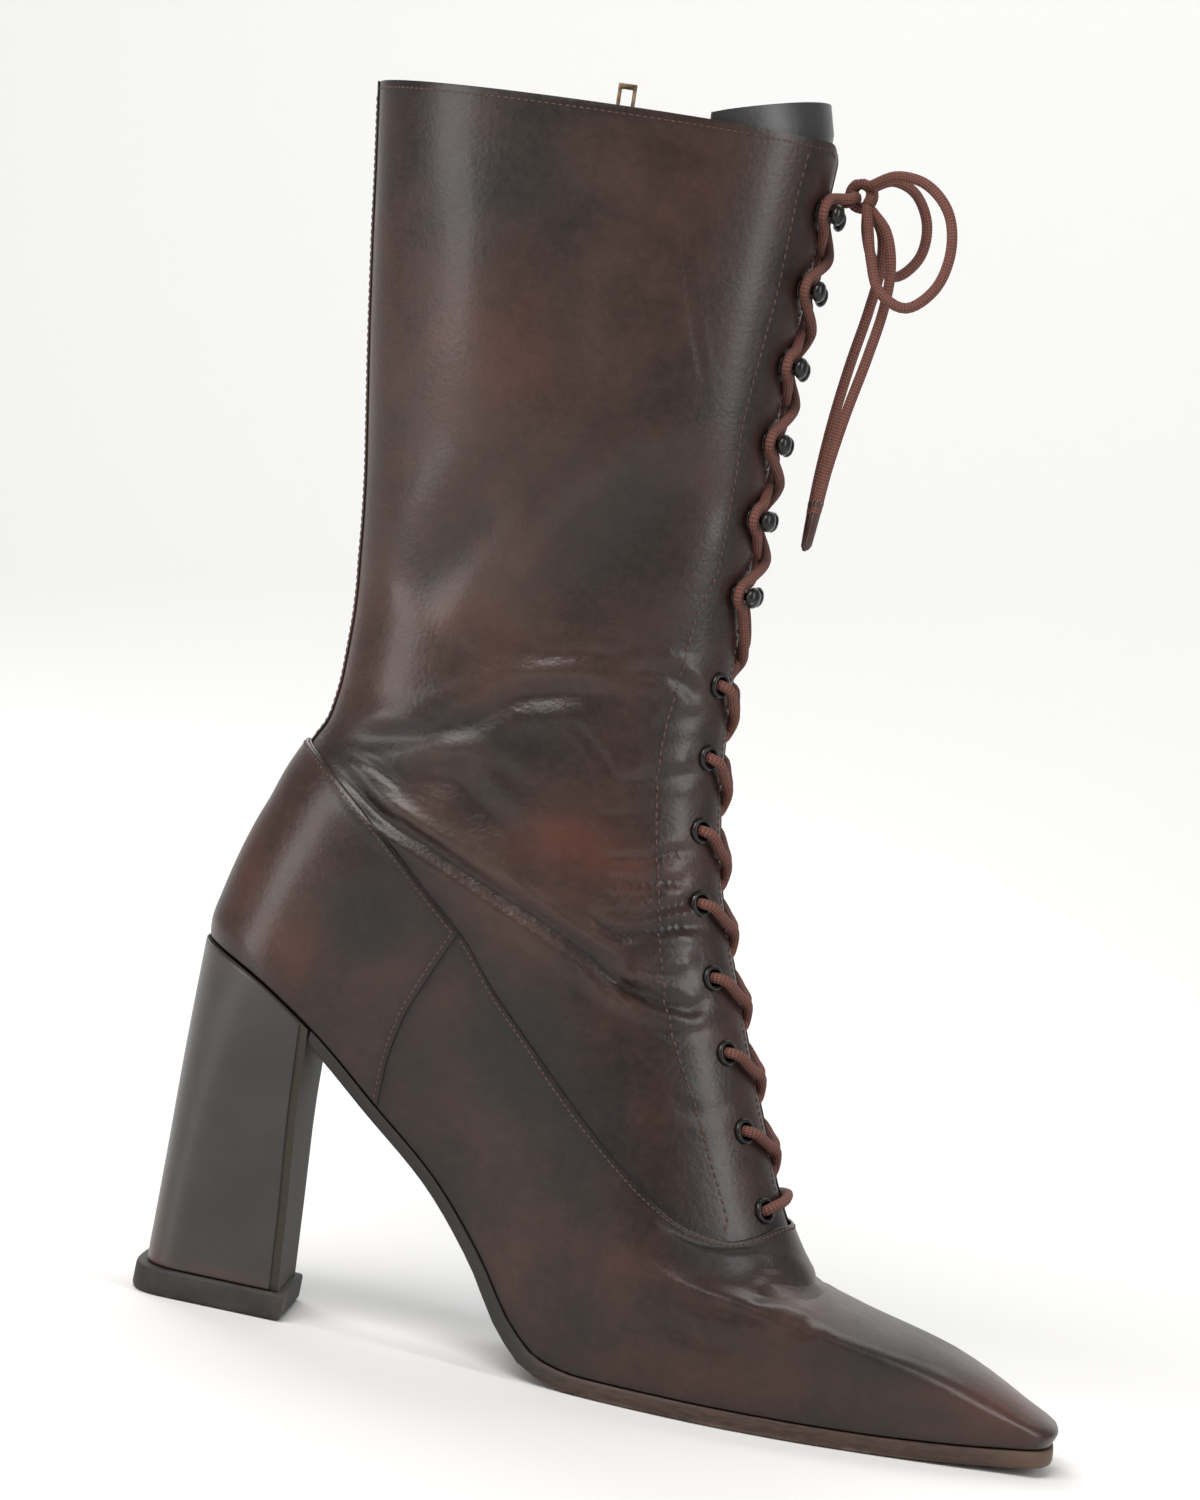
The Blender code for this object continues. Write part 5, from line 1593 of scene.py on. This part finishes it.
# where the threads dip under each other the lace is painted darker: painted shade between the threads
painted_plait_shade = braid.rise(plait + 0.5 * fluff, -0.55, 0.9)
colour = braid.blend(painted_plait_shade, (0.045, 0.0155, 0.011), (0.185, 0.062, 0.042))
colour = braid.blend(0.35 * tone, colour, (0.105, 0.038, 0.027))
braid.finish(
    Base_Color=colour, Roughness=0.78,
    Normal=braid.bump(fluff, 0.00012, 0.5, under=braid.bump(plait, 0.00016, 0.8)),
)
threads = {}
for name, dull, bright in (("waxed_thread", (0.035, 0.014, 0.010), (0.11, 0.048, 0.032)),
                           ("light_thread", (0.03, 0.012, 0.0085), (0.10, 0.042, 0.027))):
    thread = Finish(name)
    threads[name] = thread.finish(
        Base_Color=thread.blend(thread.noise(90, 3, 0.6), dull, bright),
        Roughness=0.5 + 0.1 * thread.noise(400),
    )
enamel = Finish("black_enamel")
chip = enamel.rise(enamel.noise(420, 4, 0.6), 0.66, 0.72)
enamel.finish(
    Base_Color=enamel.blend(chip, (0.010, 0.0095, 0.009), (0.22, 0.20, 0.18)), Metallic=0.35 + 0.65 * chip,
    Roughness=0.24 + 0.1 * enamel.noise(200), Normal=enamel.bump(enamel.noise(260, 3, 0.5), 0.0001, 0.3),
)
bronze = Finish("aged_bronze")
tarnish = bronze.noise(300, 4, 0.6)
bronze.finish(
    Base_Color=bronze.blend(bronze.rise(tarnish, 0.35, 0.7), (0.055, 0.036, 0.022), (0.24, 0.165, 0.10)),
    Metallic=0.9, Roughness=0.3 + 0.3 * tarnish, Normal=bronze.bump(tarnish, 0.00008, 0.4),
)
cloth = Finish("zip_cloth")
rib = cloth.node("ShaderNodeTexWave", {"bands_direction": "Z"}, {"Vector": cloth.here, "Scale": 360.0})
# the rib wave also darkens the grooves between the ribs: painted shade
cloth.finish(
    Base_Color=cloth.blend(rib, (0.013, 0.009, 0.008), (0.032, 0.021, 0.017)), Roughness=0.85,
    Normal=cloth.bump(rib, 0.0002, 0.6),
)
sleeve = Finish("lace_sleeve")
sleeve.finish(
    Base_Color=sleeve.blend(sleeve.noise(300, 3, 0.6), (0.028, 0.011, 0.008), (0.062, 0.024, 0.017)),
    Roughness=0.3 + 0.1 * sleeve.noise(500), Coat_Weight=0.3,
)

# %% Put each finish on its pieces
for piece in (shaft, foot):
    while len(piece.data.materials) < 2:
        piece.data.materials.append(lining.material)
    piece.data.materials[0] = brown.material
    piece.data.materials[1] = lining.material
dress(brown.material, counter, back_strip)
dress(tongue_finish.material, tongue)
dress(lining.material, frame["nodes"]["insole"])
dress(heel_finish.material, cover)
dress(breast_finish.material, heel)
dress(sole_finish.material, outsole)
dress(rubber.material, top_piece)
dress(braid.material, lacing, knot_wrap, knot_band, *[made[0] for made in bow_cords.values()])
dress(sleeve.material, *[made[2] for made in bow_cords.values() if len(made) > 2])
dress(cloth.material, tape)
dress(bronze.material, teeth, slider, pull)
for seam_row in seams:
    light = any(word in seam_row.name for word in ("quarter", "counter", "eyestay", "collar"))
    dress(threads["light_thread" if light else "waxed_thread"], seam_row)
for piece in bpy.data.objects:
    if piece.name.startswith(("eyelet_ring", "speed_hook")):
        dress(enamel.material, piece)
print("finishes", len([m for m in bpy.data.materials if m.use_nodes]))

# %% [markdown]
# The floor is plain and pale, swept up behind like a studio paper, so that no horizon shows. The light is
# soft: a broad window above the camera, low lamps on the heel's and the toe's side that draw the long
# highlights, one behind, one that keeps the paper white, and a dim pale sky.

# %% Floor and light
bpy.ops.object.select_all(action="DESELECT")
bpy.ops.mesh.primitive_plane_add(size=6, location=(0, 0, -0.0002))
floor = bpy.context.active_object
floor.name = "studio_floor"


def pick_edges(piece, wanted):
    """Selects only the edges of a piece in edit mode that have both ends where they are wanted."""
    bpy.ops.mesh.select_all(action="DESELECT")
    edit = bmesh.from_edit_mesh(piece.data)
    for edge in edit.edges:
        edge.select = all(wanted(vert.co) for vert in edge.verts)
    bmesh.update_edit_mesh(piece.data)


bpy.ops.object.mode_set(mode="EDIT")
bpy.ops.mesh.select_mode(type="EDGE")
pick_edges(floor, lambda co: co.y > 2.9)
bpy.ops.mesh.extrude_edges_move(TRANSFORM_OT_translate={"value": (0, 0, 4)})
pick_edges(floor, lambda co: co.y > 2.9 and co.z < 0.1)
bpy.ops.mesh.bevel(offset=1.6, segments=24)
bpy.ops.object.mode_set(mode="OBJECT")
floor.data.shade_smooth()
floor.data.transform(floor.matrix_world)
floor.matrix_world = Matrix.Identity(4)
paper = Finish("studio_paper")
floor.data.materials.append(paper.finish(Base_Color=(0.78, 0.772, 0.76, 1), Roughness=0.9))
floor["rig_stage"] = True

world = bpy.data.worlds.new("soft_sky")
bpy.context.scene.world = world
world.use_nodes = True
sky = world.node_tree.nodes["Background"]
sky.inputs["Color"].default_value = (0.93, 0.96, 1.0, 1)
sky.inputs["Strength"].default_value = 0.3
bpy.context.scene.view_settings.view_transform = "Standard"


def soft_lamp(name, place, aim_at, size, power, colour=(1, 1, 1)):
    """A broad lamp that looks at a point."""
    lamp = bpy.data.objects.new(name, bpy.data.lights.new(name, "AREA"))
    lamp.data.shape = "RECTANGLE"
    lamp.data.size, lamp.data.size_y = size
    lamp.data.energy = power
    lamp.data.color = colour
    bpy.context.scene.collection.objects.link(lamp)
    towards = Vector(aim_at) - Vector(place)
    lamp.matrix_world = Matrix.Translation(place) @ towards.to_track_quat("-Z", "Y").to_matrix().to_4x4()


soft_lamp("window", (-0.5, -1.1, 1.35), (0, 0, 0.12), (1.1, 0.8), 26, (1.0, 0.98, 0.95))
soft_lamp("on_paper", (0, 1.7, 2.3), (0, 2.3, 0), (3.4, 1.2), 42)
soft_lamp("low_left", (-1.25, -0.75, 0.3), (0, 0, 0.12), (0.5, 0.8), 7)
soft_lamp("toe_side", (1.3, -0.5, 0.7), (0.05, 0, 0.1), (0.35, 1.1), 9)
soft_lamp("behind", (-0.7, 1.2, 1.0), (0, 0, 0.15), (1.2, 0.8), 8)

# %% Print the bounds of the shown pieces
low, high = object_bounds()
print("visual", [[round(c, 4) for c in corner] for corner in (low, high)])
